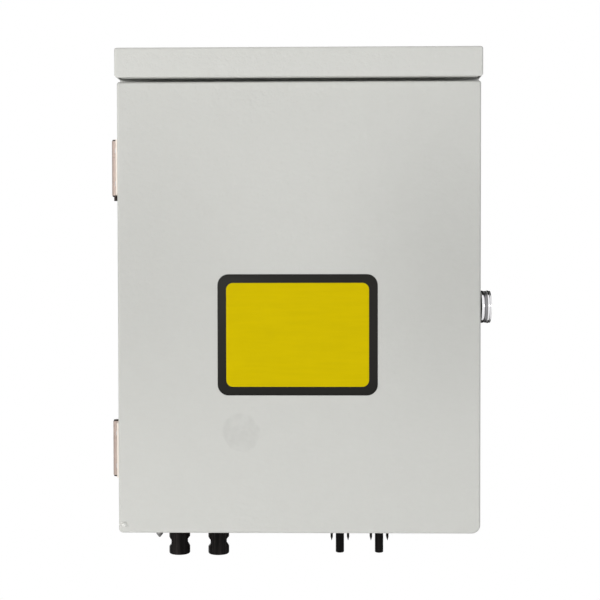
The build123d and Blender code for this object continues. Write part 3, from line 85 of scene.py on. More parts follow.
class CombinerStageSettings(bpy.types.PropertyGroup):
    """The studio around the box."""

    camera_place: FloatVectorProperty(
        name="Camera place", description="Where the camera stands, in the box's own frame",
        default=(0.0240, -1.2676, 0.0220), subtype="TRANSLATION", unit="LENGTH",
    )
    camera_yaw: FloatProperty(
        name="Camera yaw", description="Turn of the view to the right of straight ahead",
        default=math.radians(-1.209), subtype="ANGLE",
    )
    camera_pitch: FloatProperty(
        name="Camera pitch", description="Tilt of the view below the horizon",
        default=math.radians(1.477), subtype="ANGLE",
    )
    camera_roll: FloatProperty(
        name="Camera roll", description="Roll of the view about its own axis",
        default=math.radians(-0.085), subtype="ANGLE",
    )
    focal_pixels: FloatProperty(
        name="Focal length in pixels",
        description="Focal length of the lens, counted in pixels of the square image",
        default=1322.6, min=100.0,
    )
    floor_drop: FloatProperty(
        name="Floor drop", description="Height of the box's lowest point above the floor",
        default=0.42, unit="LENGTH",
    )
    room_light: FloatProperty(
        name="Room light", description="Strength of the even light from all round",
        default=0.25, min=0.0,
    )
    key_power: FloatProperty(
        name="Key power", description="Power of the large soft lamp on the left",
        default=27.6, unit="POWER",
    )
    fill_power: FloatProperty(
        name="Fill power", description="Power of the soft lamp on the right",
        default=12.7, unit="POWER",
    )
    front_power: FloatProperty(
        name="Front power", description="Power of the small lamp just behind the camera",
        default=2.05, unit="POWER",
    )
    low_power: FloatProperty(
        name="Low power", description="Power of the lamp low on the left; its twin on the right is weaker",
        default=1.75, unit="POWER",
    )
    rear_power: FloatProperty(
        name="Rear power", description="Power of the lamp behind on the left; its twin is stronger",
        default=0.42, unit="POWER",
    )
    top_power: FloatProperty(
        name="Top power", description="Power of the lamp over the hood",
        default=0.29, unit="POWER",
    )


class CombinerPaintSettings(bpy.types.PropertyGroup):
    """Colours of the painted sheet metal and of the placard."""

    coat: FloatVectorProperty(
        name="Powder coat", description="Light grey of the case and the door",
        default=(0.605, 0.610, 0.585), subtype="COLOR",
    )
    peel_size: FloatProperty(
        name="Orange peel size", description="Width of one bump of the powder coat",
        default=3.2 * MM, unit="LENGTH",
    )
    peel_depth: FloatProperty(
        name="Orange peel depth", description="Height of the powder coat's bumps",
        default=0.42 * MM, unit="LENGTH",
    )
    placard_field: FloatVectorProperty(
        name="Placard field", description="Yellow of the blank placard",
        default=(0.625, 0.485, 0.0005), subtype="COLOR",
    )
    placard_border: FloatVectorProperty(
        name="Placard border", description="Black of the placard's border",
        default=(0.0065, 0.0060, 0.0042), subtype="COLOR",
    )


class CombinerPlacardSettings(bpy.types.PropertyGroup):
    """Sizes of the blank placard on the door."""

    width: FloatProperty(
        name="Width", description="Width of the placard",
        default=0.132, unit="LENGTH",
    )
    height: FloatProperty(
        name="Height", description="Height of the placard",
        default=0.100, unit="LENGTH",
    )
    border: FloatProperty(
        name="Border", description="Width of the black border",
        default=0.0072, unit="LENGTH",
    )
    corner: FloatProperty(
        name="Corner", description="Radius of the outer corners",
        default=0.009, unit="LENGTH",
    )
    film: FloatProperty(
        name="Film", description="Thickness of the vinyl",
        default=0.00018, unit="LENGTH",
    )
    centre_x: FloatProperty(
        name="Centre across", description="Place across the door",
        default=-0.0010, unit="LENGTH",
    )
    centre_z: FloatProperty(
        name="Centre up", description="Place up the door",
        default=-0.0348, unit="LENGTH",
    )


class CombinerDetailSettings(bpy.types.PropertyGroup):
    """Counts and sizes of the small repeated pieces."""

    cap_ribs: IntProperty(
        name="Gland ribs", description="Ribs round each gland cap",
        default=24, min=3,
    )
    connector_ribs: IntProperty(
        name="Connector ribs", description="Ribs round each connector",
        default=20, min=3,
    )
    wire_sides: IntProperty(
        name="Wire sides", description="Sides of a wire's round section",
        default=20, min=6,
    )
    wire_diameter: FloatProperty(
        name="Wire diameter", description="Over the sheath",
        default=4.6 * MM, unit="LENGTH",
    )
    ferrule_length: FloatProperty(
        name="Ferrule sleeve", description="Length of a ferrule's sleeve",
        default=7.0 * MM, unit="LENGTH",
    )


SETTINGS = {
    "combiner_stage": CombinerStageSettings,
    "combiner_paint": CombinerPaintSettings,
    "combiner_placard": CombinerPlacardSettings,
    "combiner_detail": CombinerDetailSettings,
}


def settings(group):
    """The scene's own copy of one group of settings: stage, paint, placard or detail."""
    return getattr(bpy.context.scene, f"combiner_{group}")


# ---------------------------------------------------------------- places taken from the frame


def corners(node):
    """The lowest and highest corners of a CAD node, in metres."""
    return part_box(node)


def middle(node):
    low, high = corners(node)
    return (low + high) / 2


def door_face():
    """y of the door's front face."""
    return corners("door_panel")[0].y


def loose_parts(node):
    """Centre and size of each separate solid of a CAD node."""
    shape = bmesh.new()
    shape.from_mesh(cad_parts[node].data)
    bmesh.ops.remove_doubles(shape, verts=shape.verts, dist=1e-6)
    waiting = set(shape.verts)
    found = []
    while waiting:
        stack = [waiting.pop()]
        group = list(stack)
        while stack:
            for edge in stack.pop().link_edges:
                for vert in edge.verts:
                    if vert in waiting:
                        waiting.remove(vert)
                        stack.append(vert)
                        group.append(vert)
        low = Vector([min(v.co[i] for v in group) for i in range(3)])
        high = Vector([max(v.co[i] for v in group) for i in range(3)])
        found.append(((low + high) / 2, high - low))
    shape.free()
    return sorted(found, key=lambda part: tuple(round(c, 4) for c in part[0]))


# ---------------------------------------------------------------- node helpers


class Nodes:
    """A node tree with short calls for adding and joining nodes."""

    def __init__(self, tree):
        self.tree = tree

    def join(self, value, socket):
        """Links an output to a socket, or sets the socket to a plain value."""
        if isinstance(value, bpy.types.NodeSocket):
            self.tree.links.new(value, socket)
        else:
            socket.default_value = (*value, 1.0) if socket.type == "RGBA" else value

    def add(self, kind, *ordered, **named):
        """A new node. Ordered values go to its inputs in turn, capitalised names to the inputs of
        that name, and small names to the node's own properties."""
        node = self.tree.nodes.new(kind)
        for name in [name for name in named if name[0].islower()]:
            setattr(node, name, named.pop(name))
        for socket, value in zip(node.inputs, ordered):
            self.join(value, socket)
        for name, value in named.items():
            self.join(value, node.inputs[name.replace("_", " ")])
        return node


class Shader(Nodes):
    """A material's node tree with short calls for what every finish needs."""

    def __init__(self, name, **values):
        self.material = bpy.data.materials.new(name)
        self.material.use_nodes = True
        super().__init__(self.material.node_tree)
        self.surface = self.tree.nodes["Principled BSDF"]
        self.place = self.add("ShaderNodeTexCoord").outputs["Object"]
        for key, value in values.items():
            self.join(value, self.surface.inputs[key.replace("_", " ")])

    def noise(self, scale, detail=2.0, roughness=0.5, stretch=(1.0, 1.0, 1.0)):
        spot = self.add("ShaderNodeMapping", Vector=self.place, Scale=stretch).outputs["Vector"]
        size = {"Scale": scale, "Detail": detail, "Roughness": roughness}
        return self.add("ShaderNodeTexNoise", Vector=spot, **size).outputs["Fac"]

    def cells(self, scale, output="Distance"):
        return self.add("ShaderNodeTexVoronoi", Vector=self.place, Scale=scale).outputs[output]

    def span(self, value, low, high, to_low=0.0, to_high=1.0, easing="LINEAR"):
        node = self.add("ShaderNodeMapRange", value, low, high, to_low, to_high, interpolation_type=easing)
        return node.outputs["Result"]

    def drift(self, scale, detail=2.0, roughness=0.5, low=0.0, high=1.0):
        """Noise that wanders from one value to the other."""
        return self.span(self.noise(scale, detail, roughness), 0.3, 0.7, low, high)

    def vector_maths(self, operation, first, *second, output="Vector"):
        return self.add("ShaderNodeVectorMath", first, *second, operation=operation).outputs[output]

    def maths(self, operation, first, *second):
        return self.add("ShaderNodeMath", first, *second, operation=operation).outputs[0]

    def times(self, first, second):
        return self.maths("MULTIPLY", first, second)

    def mix(self, factor, first, second):
        node = self.add("ShaderNodeMix", factor, data_type="RGBA")
        ends = [socket for socket in node.inputs if socket.type == "RGBA"]
        self.join(first, ends[0])
        self.join(second, ends[1])
        return [socket for socket in node.outputs if socket.type == "RGBA"][0]

    def colour(self, output):
        self.join(output, self.surface.inputs["Base Color"])

    def roughness(self, output):
        self.join(output, self.surface.inputs["Roughness"])

    def bump(self, *layers):
        """Layers are (height output, distance in metres, strength), the coarsest first."""
        node = None
        for height, distance, strength in layers:
            under = {"Normal": node.outputs["Normal"]} if node else {}
            node = self.add("ShaderNodeBump", Height=height, Distance=distance, Strength=strength, **under)
        self.join(node.outputs["Normal"], self.surface.inputs["Normal"])


class Tree(Nodes):
    """A geometry node tree with named inputs, each given with its kind."""

    def __init__(self, name, **inputs):
        super().__init__(bpy.data.node_groups.new(name, "GeometryNodeTree"))
        sockets = self.tree.interface
        sockets.new_socket("Geometry", in_out="OUTPUT", socket_type="NodeSocketGeometry")
        for label, kind in {"Geometry": "Geometry", **inputs, "Material": "Material"}.items():
            sockets.new_socket(label.replace("_", " "), in_out="INPUT", socket_type=f"NodeSocket{kind}")
        self.entry = self.add("NodeGroupInput").outputs

    def end(self, geometry):
        """Realize Instances, Set Material and the output."""
        real = self.add("GeometryNodeRealizeInstances", geometry).outputs[0]
        painted = self.add("GeometryNodeSetMaterial", Geometry=real, Material=self.entry["Material"])
        self.add("NodeGroupOutput", painted.outputs[0])
        return self


# ---------------------------------------------------------------- finishes


def tint(colour, factor):
    return tuple(channel * factor for channel in colour)


def powder_coat(name, colour, smudge=None, painted_shade_patches=()):
    """Satin powder coat: faint orange peel, slow drift of tone and a little handling dirt.

    The smudge is (centre, radius). A patch of painted shade is (centre, reach along each axis, how much
    darker): shade painted into the coat's colour."""
    paint = settings("paint")
    shader = Shader(name)
    fine = shader.drift(55.0, 4.0, 0.65)
    tone = shader.mix(shader.drift(4.0, 3.0), tint(colour, 0.985), tint(colour, 1.012))
    mottle_and_shade = shader.mix(shader.times(fine, 0.5), tone, tint(colour, 0.972))
    rough = shader.drift(24.0, 3.0, low=0.38, high=0.47)
    # Painted shade: each patch darkens the coat's colour softly towards its centre.
    for centre, reach, share in painted_shade_patches:
        from_centre = shader.vector_maths("SUBTRACT", shader.place, centre)
        scaled = shader.vector_maths("DIVIDE", from_centre, reach)
        away = shader.vector_maths("LENGTH", scaled, output="Value")
        inside = shader.span(away, 0.0, 1.8, share, 0.0, "SMOOTHSTEP")
        mottle_and_shade = shader.mix(inside, mottle_and_shade, (0.0, 0.0, 0.0))
    if smudge is not None:
        centre, radius = smudge
        beside = shader.vector_maths("SUBTRACT", shader.place, centre)
        skin_deep = shader.vector_maths("MULTIPLY", beside, (1.0, 40.0, 1.0))
        offset = shader.vector_maths("LENGTH", skin_deep, output="Value")
        reach = shader.maths("ADD", offset, shader.drift(90.0, low=-1.5 * MM, high=1.5 * MM))
        inside = shader.span(reach, radius, radius * 0.9)
        patchy = shader.times(inside, shader.span(shader.noise(160.0, 3.0), 0.35, 0.65, 0.25, 1.0))
        mottle_and_shade = shader.mix(shader.times(patchy, 0.70), mottle_and_shade, tint(colour, 0.87))
        rough = shader.maths("ADD", rough, shader.times(patchy, 0.12))
    shader.colour(mottle_and_shade)
    shader.roughness(rough)
    shader.bump(
        (shader.noise(14.0, 2.0, 0.4), 0.8 * MM, 0.35),
        (shader.noise(1.0 / paint.peel_size, 2.0, 0.55), paint.peel_depth, 0.9),
        (shader.noise(3.4 / paint.peel_size, 2.0, 0.5), paint.peel_depth * 0.2, 0.6),
    )
    return shader.material


def plated_metal(name, colour, roughness, streak=(1.0, 1.0, 1.0), spangle=0.0):
    """Zinc, nickel or tin plate over steel, brass or copper, with hazy patches and fine scratches."""
    shader = Shader(name, Metallic=1.0)
    tone = shader.mix(shader.drift(60.0, 4.0, 0.6), tint(colour, 0.90), tint(colour, 1.04))
    rough = shader.drift(150.0, 3.0, low=roughness - 0.06, high=roughness + 0.12)
    if spangle:
        value = shader.add("ShaderNodeSeparateColor", shader.cells(spangle, "Color")).outputs
        tone = shader.mix(shader.times(value[0], 0.5), tone, tint(colour, 0.74))
        rough = shader.maths("ADD", rough, shader.times(value[1], 0.14))
    shader.colour(tone)
    shader.roughness(rough)
    shader.bump((shader.noise(900.0, 2.0, 0.6, streak), 0.02 * MM, 0.5))
    return shader.material


def moulded_plastic(name, colour, roughness, specular=0.5, painted_highlight=None):
    """Moulded plastic with a fine spark-eroded texture and slow changes of gloss.

    Painted highlight is the colour of faint upright lighter lines painted into the tone, in place of the
    gleams that lamps leave along a long round piece."""
    texture = 0.7 * MM
    shader = Shader(name, IOR=1.5, Specular_IOR_Level=specular)
    tone = shader.mix(shader.drift(30.0, 3.0), tint(colour, 0.93), tint(colour, 1.05))
    if painted_highlight is not None:
        # Painted highlights: faint upright lighter lines in the colour.
        lines = shader.span(shader.noise(330.0, 3.0, 0.6, (1.0, 1.0, 0.03)), 0.45, 0.72)
        tone = shader.mix(lines, tone, painted_highlight)
    shader.colour(tone)
    shader.roughness(shader.drift(110.0, 3.0, low=roughness - 0.06, high=roughness + 0.08))
    shader.bump(
        (shader.noise(1.0 / (6 * texture)), 0.08 * MM, 0.15),
        (shader.noise(1.0 / texture, 3.0, 0.6), 0.02 * MM, 0.8),
    )
    return shader.material


def soft_foam(name, colour):
    """Cast foam or sponge rubber: dense small pores, each darkened with painted shade."""
    shader = Shader(name)
    pores = shader.cells(900.0)
    # Painted shade: colour darker in the hollow of each pore, lighter at its rim.
    shader.colour(shader.mix(shader.span(pores, 0.1, 0.6), tint(colour, 0.55), tint(colour, 1.2)))
    shader.roughness(shader.drift(60.0, low=0.8, high=0.95))
    shader.bump((shader.noise(120.0), 0.3 * MM, 0.3), (pores, 0.3 * MM, 0.7))
    return shader.material


def zinc_with_painted_shade(name, lighter_tone, darker_tone):
    """Warm-tinted zinc plate of a hinge in painted light and shade: lighter next to the door as a painted
    highlight, darker on its outer side as painted shade, with random patches there.
    """
    shader = Shader(name, Metallic=0.35, Specular_IOR_Level=0.3)
    axis = middle("hinge_pins").x
    across = shader.add("ShaderNodeSeparateXYZ", shader.place).outputs["X"]
    edge = shader.maths("ADD", across, shader.drift(120.0, 3.0, low=-0.4 * MM, high=0.4 * MM))
    patches = shader.drift(200.0, 4.0, 0.6)
    outer = shader.mix(patches, tint(darker_tone, 0.86), tint(darker_tone, 1.08))
    # Painted light and shade: the colour steps from the darker outer tone to the lighter tone across the
    # hinge's axis.
    shader.colour(shader.mix(shader.span(edge, axis, axis + 1.6 * MM), outer, lighter_tone))
    shader.roughness(shader.span(patches, 0.0, 1.0, 0.42, 0.56))
    shader.bump((shader.noise(900.0, 2.0, 0.6, (1.0, 1.0, 0.05)), 0.02 * MM, 0.5))
    return shader.material


def polished_chrome(name):
    """Bright chrome plate over a turned die casting: fine turning marks, a light haze."""
    shader = Shader(name, Metallic=1.0)
    haze = shader.span(shader.noise(220.0, 3.0), 0.35, 0.65)
    shader.colour(shader.mix(haze, (0.86, 0.85, 0.87), (0.94, 0.93, 0.95)))
    shader.roughness(shader.drift(90.0, 3.0, low=0.07, high=0.16))
    shader.bump(
        (shader.noise(130.0), 0.03 * MM, 0.35),
        (shader.noise(3000.0, 1.0, 0.5, (1.0, 0.02, 0.02)), 0.004 * MM, 0.5),
    )
    return shader.material


def printed_vinyl(name, colour, streaks=0.06, specular=0.22):
    """Screen-printed vinyl film with faint horizontal streaks from the squeegee."""
    shader = Shader(name, IOR=1.46, Specular_IOR_Level=specular)
    bands = shader.span(shader.noise(260.0, 3.0, 0.6, (0.10, 1.0, 1.0)), 0.35, 0.7)
    blotch = shader.span(shader.noise(45.0, 3.0), 0.35, 0.7)
    darker_tone = shader.mix(shader.times(bands, streaks * 4), colour, tint(colour, 0.80))
    shader.colour(shader.mix(shader.times(blotch, streaks * 3), darker_tone, tint(colour, 1.10)))
    shader.roughness(shader.drift(70.0, low=0.36, high=0.48))
    shader.bump((shader.noise(650.0), 0.02 * MM, 0.6))
    return shader.material


def fired_ceramic(name):
    """Fuse tube: dull white ceramic, a shade of cream, slightly gritty."""
    shader = Shader(name)
    speck = shader.span(shader.noise(500.0, 3.0, 0.7), 0.55, 0.75)
    shader.colour(shader.mix(speck, (0.78, 0.76, 0.70), (0.60, 0.57, 0.50)))
    shader.roughness(shader.drift(80.0, low=0.5, high=0.62))
    shader.bump((shader.noise(1500.0), 0.02 * MM, 0.6))
    return shader.material


def wire_sheath(name, colour, stripe=None):
    """Extruded sheath with a soft gloss; a second colour runs along it as two stripes if given."""
    shader = Shader(name, IOR=1.52, Specular_IOR_Level=0.25)
    tone = shader.mix(shader.drift(70.0), tint(colour, 0.90), tint(colour, 1.08))
    if stripe is not None:
        around = shader.add("ShaderNodeAttribute", attribute_name="around").outputs["Fac"]
        wave = shader.maths("SINE", shader.times(around, 4 * math.pi))
        tone = shader.mix(shader.span(wave, 0.35, 0.42), tone, stripe)
    shader.colour(tone)
    shader.roughness(shader.drift(180.0, low=0.30, high=0.42))
    shader.bump((shader.noise(420.0), 0.03 * MM, 0.4))
    return shader.material


def signal_lens(name, colour):
    """A small clear or coloured window in a device's front."""
    shader = Shader(name, IOR=1.49)
    shader.colour(shader.mix(shader.noise(400.0), tint(colour, 0.75), colour))
    shader.roughness(shader.drift(120.0, low=0.08, high=0.16))
    shader.bump((shader.noise(500.0, 1.0), 0.01 * MM, 0.3))
    return shader.material


def coat_colour(factor=1.0):
    return tint(settings("paint").coat, factor)


def door_coat():
    """The door's coat, with an old smudge and three soft patches of painted shade: right, left and a band
    across the middle.
    """
    face = door_face()
    # Patches of painted shade, each (centre, reach along each axis, how much darker).
    right = ((0.135, face, 0.03), (0.075, 1.0, 0.10), 0.12)
    left = ((-0.15, face, 0.03), (0.08, 1.0, 0.12), 0.08)
    band = ((0.0, face, -0.03), (0.5, 1.0, 0.10), 0.04)
    smudge = ((-0.0483, face, -0.1154), 16.5 * MM)
    return powder_coat("door_coat", coat_colour(), smudge, (right, left, band))


FINISH_MAKERS = {
    "grey_paint": lambda: powder_coat("case_coat", coat_colour()),
    # The hood's coat is the case's coat made 5.5 % lighter: painted light.
    "hood_paint": lambda: powder_coat("hood_coat", coat_colour(1.055)),
    "door_paint": door_coat,
    # The nib's coat is the door's coat made 30 % lighter: a painted highlight on the bead.
    "nib_paint_painted_highlight": lambda: powder_coat("nib_coat", coat_colour(1.3)),
    "zinc_steel": lambda: plated_metal("bright_zinc", (0.60, 0.61, 0.63), 0.32),
    "dull_zinc": lambda: plated_metal("dull_zinc", (0.285, 0.285, 0.28), 0.50),
    "galvanised_sheet": lambda: plated_metal("galvanised", (0.50, 0.52, 0.54), 0.40, spangle=70.0),
    # The hinge's two tones are painted light and shade across the barrel.
    "hinge_steel": lambda: zinc_with_painted_shade("hinge_zinc", (0.82, 0.755, 0.69), (0.435, 0.352, 0.315)),
    # The hinge pins are near-black: painted shade at the lower ends of the hinges.
    "pin_steel": lambda: plated_metal("blackened_steel", (0.050, 0.042, 0.040), 0.55),
    "chrome_zinc": lambda: polished_chrome("lock_chrome"),
    "dull_chrome": lambda: plated_metal("dull_chrome", (0.29, 0.285, 0.295), 0.34),
    "black_rubber": lambda: soft_foam("black_rubber", (0.020, 0.020, 0.021)),
    # A rubber lip whose near-black matt colour is also painted shade for the gap between the door's edge and
    # the lock.
    "lip_rubber": lambda: moulded_plastic("lip_rubber", (0.0035, 0.0035, 0.0032), 0.60, 0.05),
    "gasket_foam": lambda: soft_foam("gasket_foam", (0.045, 0.045, 0.047)),
    "device_grey": lambda: moulded_plastic("device_grey", (0.55, 0.56, 0.55), 0.50),
    "drawer_grey": lambda: moulded_plastic("drawer_grey", (0.32, 0.34, 0.36), 0.48),
    "fuse_ceramic": lambda: fired_ceramic("fuse_ceramic"),
    "fuse_caps": lambda: plated_metal("fuse_caps", (0.68, 0.66, 0.62), 0.22),
    "toggle_black": lambda: moulded_plastic("toggle_black", (0.018, 0.018, 0.020), 0.38),
    "cartridge_plastic": lambda: moulded_plastic("cartridge_plastic", (0.045, 0.050, 0.058), 0.46),
    "copper_bar": lambda: plated_metal("bare_copper", (0.70, 0.33, 0.20), 0.34, (1.0, 1.0, 0.2)),
    "terminal_steel": lambda: plated_metal("nickel_plate", (0.66, 0.64, 0.60), 0.26),
    "brass_bar": lambda: plated_metal("bare_brass", (0.66, 0.47, 0.20), 0.30, (0.1, 1.0, 1.0)),
    "post_plastic": lambda: moulded_plastic("post_plastic", (0.04, 0.10, 0.32), 0.4),
    "tinned_copper": lambda: plated_metal("tin_plate", (0.68, 0.68, 0.67), 0.30),
    # The lighter upright lines in the connectors' colour are painted highlights.
    "connector_black": lambda: moulded_plastic(
        "connector_black", (0.0022, 0.0019, 0.0016), 0.34, 0.07, (0.021, 0.018, 0.0175)
    ),
    "gland_grey": lambda: moulded_plastic("gland_grey", (0.17, 0.185, 0.20), 0.42),
    "wire_red": lambda: wire_sheath("sheath_red", (0.42, 0.010, 0.008)),
    "wire_black": lambda: wire_sheath("sheath_black", (0.012, 0.012, 0.013)),
    "wire_green": lambda: wire_sheath("sheath_earth", (0.02, 0.22, 0.04), (0.72, 0.60, 0.02)),
    "ferrule_red": lambda: moulded_plastic("ferrule_sleeve", (0.50, 0.05, 0.03), 0.4),
    "green_window": lambda: signal_lens("green_window", (0.03, 0.42, 0.08)),
    "red_lens": lambda: signal_lens("red_lens", (0.45, 0.02, 0.015)),
    "device_label": lambda: printed_vinyl("blank_device_label", (0.74, 0.75, 0.74), 0.01),
    "placard_yellow": lambda: printed_vinyl("placard_field", settings("paint").placard_field, specular=0.04),
    "placard_black": lambda: printed_vinyl("placard_border", settings("paint").placard_border),
}


@cache
def finish(name):
    """The material of that finish, made the first time it is asked for."""
    return FINISH_MAKERS[name]()


# ---------------------------------------------------------------- mesh helpers


def put(name, data):
    """A new object in the scene."""
    obj = bpy.data.objects.new(name, data)
    bpy.context.scene.collection.objects.link(obj)
    return obj


def link_piece(name, mesh, body, finish_name):
    """Puts a finished mesh in the scene, riding on a body."""
    piece = put(name, mesh)
    mesh.materials.clear()
    mesh.materials.append(finish(finish_name))
    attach(piece, body)
    return piece


def smooth(mesh, angle=35.0):
    mesh.shade_smooth()
    mesh.set_sharp_from_angle(angle=math.radians(angle))


def mesh_of(holder):
    """The plain mesh that an object comes to with its modifiers. The object is removed."""
    depsgraph = bpy.context.evaluated_depsgraph_get()
    mesh = bpy.data.meshes.new_from_object(holder.evaluated_get(depsgraph), depsgraph=depsgraph)
    holder.modifiers.clear()
    bpy.data.objects.remove(holder)
    return mesh


def bmesh_to_mesh(name, shape):
    bmesh.ops.recalc_face_normals(shape, faces=shape.faces)
    mesh = bpy.data.meshes.new(name)
    shape.to_mesh(mesh)
    shape.free()
    smooth(mesh)
    return mesh


def bevelled(mesh, width, segments=3):
    """A copy of a mesh with its sharp edges rounded."""
    holder = put("bevel_holder", mesh)
    modifier = holder.modifiers.new("edges", "BEVEL")
    modifier.width = width
    modifier.segments = segments
    modifier.limit_method = "ANGLE"
    modifier.angle_limit = math.radians(35.0)
    result = mesh_of(holder)
    smooth(result)
    return result


def turned(name, profile, origin, axis, sides):
    """A solid turned about an axis. The profile is (radius, distance along the axis), closed on itself."""
    shape = bmesh.new()
    turn = Vector(axis).to_track_quat("Z", "Y").to_matrix()
    base = Vector(origin)
    rings = []
    for radius, along in profile:
        spins = [2 * math.pi * side / sides for side in range(sides)] if radius > 0 else [0.0]
        points = [Vector((radius * math.cos(spin), radius * math.sin(spin), along)) for spin in spins]
        rings.append([shape.verts.new(base + turn @ point) for point in points])
    closed = profile[0][0] > 0
    pairs = list(zip(rings, rings[1:])) + ([(rings[-1], rings[0])] if closed else [])
    for lower, upper in pairs:
        for side in range(sides):
            following = (side + 1) % sides
            loop = [lower[side % len(lower)], lower[following % len(lower)]]
            loop += [upper[following % len(upper)], upper[side % len(upper)]]
            unique = [v for i, v in enumerate(loop) if v not in loop[:i]]
            if len(unique) > 2:
                shape.faces.new(unique)
    return bmesh_to_mesh(name, shape)


def arc(centre, radius, start, end, steps):
    """Points of an arc in a profile, from start to end degrees."""
    turns = [math.radians(start + (end - start) * step / steps) for step in range(steps + 1)]
    return [(centre[0] + radius * math.cos(t), centre[1] + radius * math.sin(t)) for t in turns]


def rounded_rectangle(width, height, radius, steps=8):
    """Outline points of a rounded rectangle about its centre."""
    points = []
    for sign_x, sign_y, start in ((1, 1, 0), (-1, 1, 90), (-1, -1, 180), (1, -1, 270)):
        centre = (sign_x * (width / 2 - radius), sign_y * (height / 2 - radius))
        points += arc(centre, radius, start, start + 90, steps)
    return points


def plate(name, outline, centre, thickness, bevel=0.0):
    """A thin upright plate with that outline, standing forward of a face by its thickness."""
    shape = bmesh.new()
    back = [shape.verts.new((centre[0] + x, centre[1], centre[2] + z)) for x, z in outline]
    front = [shape.verts.new((v.co.x, v.co.y - thickness, v.co.z)) for v in back]
    shape.faces.new(list(reversed(back)))
    shape.faces.new(front)
    for index in range(len(outline)):
        following = (index + 1) % len(outline)
        shape.faces.new([back[index], back[following], front[following], front[index]])
    mesh = bmesh_to_mesh(name, shape)
    return bevelled(mesh, bevel) if bevel else mesh


def blank_label(width, height, centre):
    """A small film label with rounded corners on a device's front."""
    return plate("label", rounded_rectangle(width, height, 1 * MM, 4), centre, 0.12 * MM)


def block(name, low, high, bevel):
    """A block between two corners with rounded edges."""
    shape = bmesh.new()
    bmesh.ops.create_cube(shape, size=1.0)
    low, high = Vector(low), Vector(high)
    for vert in shape.verts:
        vert.co = (low + high) / 2 + vert.co * (high - low)
    return bevelled(bmesh_to_mesh(name, shape), bevel, 2)


def joined(name, meshes):
    """Several meshes as one."""
    shape = bmesh.new()
    for mesh in meshes:
        shape.from_mesh(mesh)
    result = bpy.data.meshes.new(name)
    shape.to_mesh(result)
    shape.free()
    smooth(result)
    return result


# ---------------------------------------------------------------- geometry node helpers


def points_holder(name, points):
    """An object whose vertices are the points, and whose edges join them in order."""
    mesh = bpy.data.meshes.new(name)
    mesh.from_pydata([tuple(p) for p in points], [(i, i + 1) for i in range(len(points) - 1)], [])
    return put(name, mesh)


def grown(holder, tree, name, finish_name, angle=35.0, **values):
    """Runs a tree on a holder and gives the plain mesh that comes out."""
    values = {key.replace("_", " "): value for key, value in values.items()}
    values["Material"] = finish(finish_name)
    modifier = holder.modifiers.new("grow", "NODES")
    modifier.node_group = tree.tree
    for item in tree.tree.interface.items_tree:
        if item.in_out == "INPUT" and item.name in values:
            modifier[item.identifier] = values[item.name]
    mesh = mesh_of(holder)
    mesh.name = name
    smooth(mesh, angle)
    return mesh


@cache
def tube_tree():
    """A round tube along each line, with its turn about the line kept as an attribute."""
    tree = Tree("round_tube", Radius="Float", Sides="Int")
    entry = tree.entry
    line = tree.add("GeometryNodeMeshToCurve", Mesh=entry["Geometry"])
    ring = tree.add("GeometryNodeCurvePrimitiveCircle", Resolution=entry["Sides"], Radius=entry["Radius"])
    capture = tree.add("GeometryNodeCaptureAttribute")
    capture.capture_items.new("FLOAT", "around")
    tree.join(ring.outputs[0], capture.inputs["Geometry"])
    tree.join(tree.add("GeometryNodeSplineParameter").outputs["Factor"], capture.inputs["around"])
    tube = tree.add(
        "GeometryNodeCurveToMesh", Curve=line.outputs[0], Profile_Curve=capture.outputs["Geometry"],
        Fill_Caps=True,
    )
    store = tree.add(
        "GeometryNodeStoreNamedAttribute", data_type="FLOAT", domain="POINT", Name="around",
        Geometry=tube.outputs[0], Value=capture.outputs["around"],
    )
    return tree.end(store.outputs[0])


@cache
def scatter_tree():
    """A copy of one piece on every point."""
    tree = Tree("piece_on_points", Piece="Object", Turn="Vector")
    info = tree.add("GeometryNodeObjectInfo", Object=tree.entry["Piece"])
    turn = tree.add("FunctionNodeEulerToRotation", tree.entry["Turn"])
    copies = tree.add(
        "GeometryNodeInstanceOnPoints", Points=tree.entry["Geometry"], Instance=info.outputs["Geometry"],
        Rotation=turn.outputs[0],
    )
    return tree.end(copies.outputs[0])


@cache
def ring_tree():
    """Bars set round a circle, standing along its axis."""
    tree = Tree("bars_round_ring", Count="Int", Radius="Float", Bar_Size="Vector", Place="Vector")
    ring = tree.add("GeometryNodeMeshCircle", Vertices=tree.entry["Count"], Radius=tree.entry["Radius"])
    bar = tree.add("GeometryNodeMeshCube", Size=tree.entry["Bar Size"])
    outward = tree.add("GeometryNodeInputPosition").outputs[0]
    turn = tree.add("FunctionNodeAlignRotationToVector", axis="X", pivot_axis="Z", Vector=outward)
    bars = tree.add(
        "GeometryNodeInstanceOnPoints", Points=ring.outputs[0], Instance=bar.outputs["Mesh"],
        Rotation=turn.outputs[0],
    )
    moved = tree.add("GeometryNodeTransform", Geometry=bars.outputs[0], Translation=tree.entry["Place"])
    return tree.end(moved.outputs[0])


def copies_on(points, piece_mesh, finish_name, name, turn):
    """One mesh with a turned copy of a piece on each point."""
    source = put("copied_piece", piece_mesh)
    holder = points_holder("copy_points", points)
    mesh = grown(holder, scatter_tree(), name, finish_name, Piece=source, Turn=turn)
    bpy.data.objects.remove(source)
    return mesh


def smooth_line(points):
    """Points along a smooth curve that has the given points as its control points."""
    data = bpy.data.curves.new("route", "CURVE")
    data.dimensions = "3D"
    data.resolution_u = 10
    spline = data.splines.new("NURBS")
    spline.points.add(len(points) - 1)
    for knot, point in zip(spline.points, points):
        knot.co = (*point, 1.0)
    spline.order_u = 3
    spline.use_endpoint_u = True
    return [v.co.copy() for v in mesh_of(put("route", data)).vertices]


# ---------------------------------------------------------------- stage


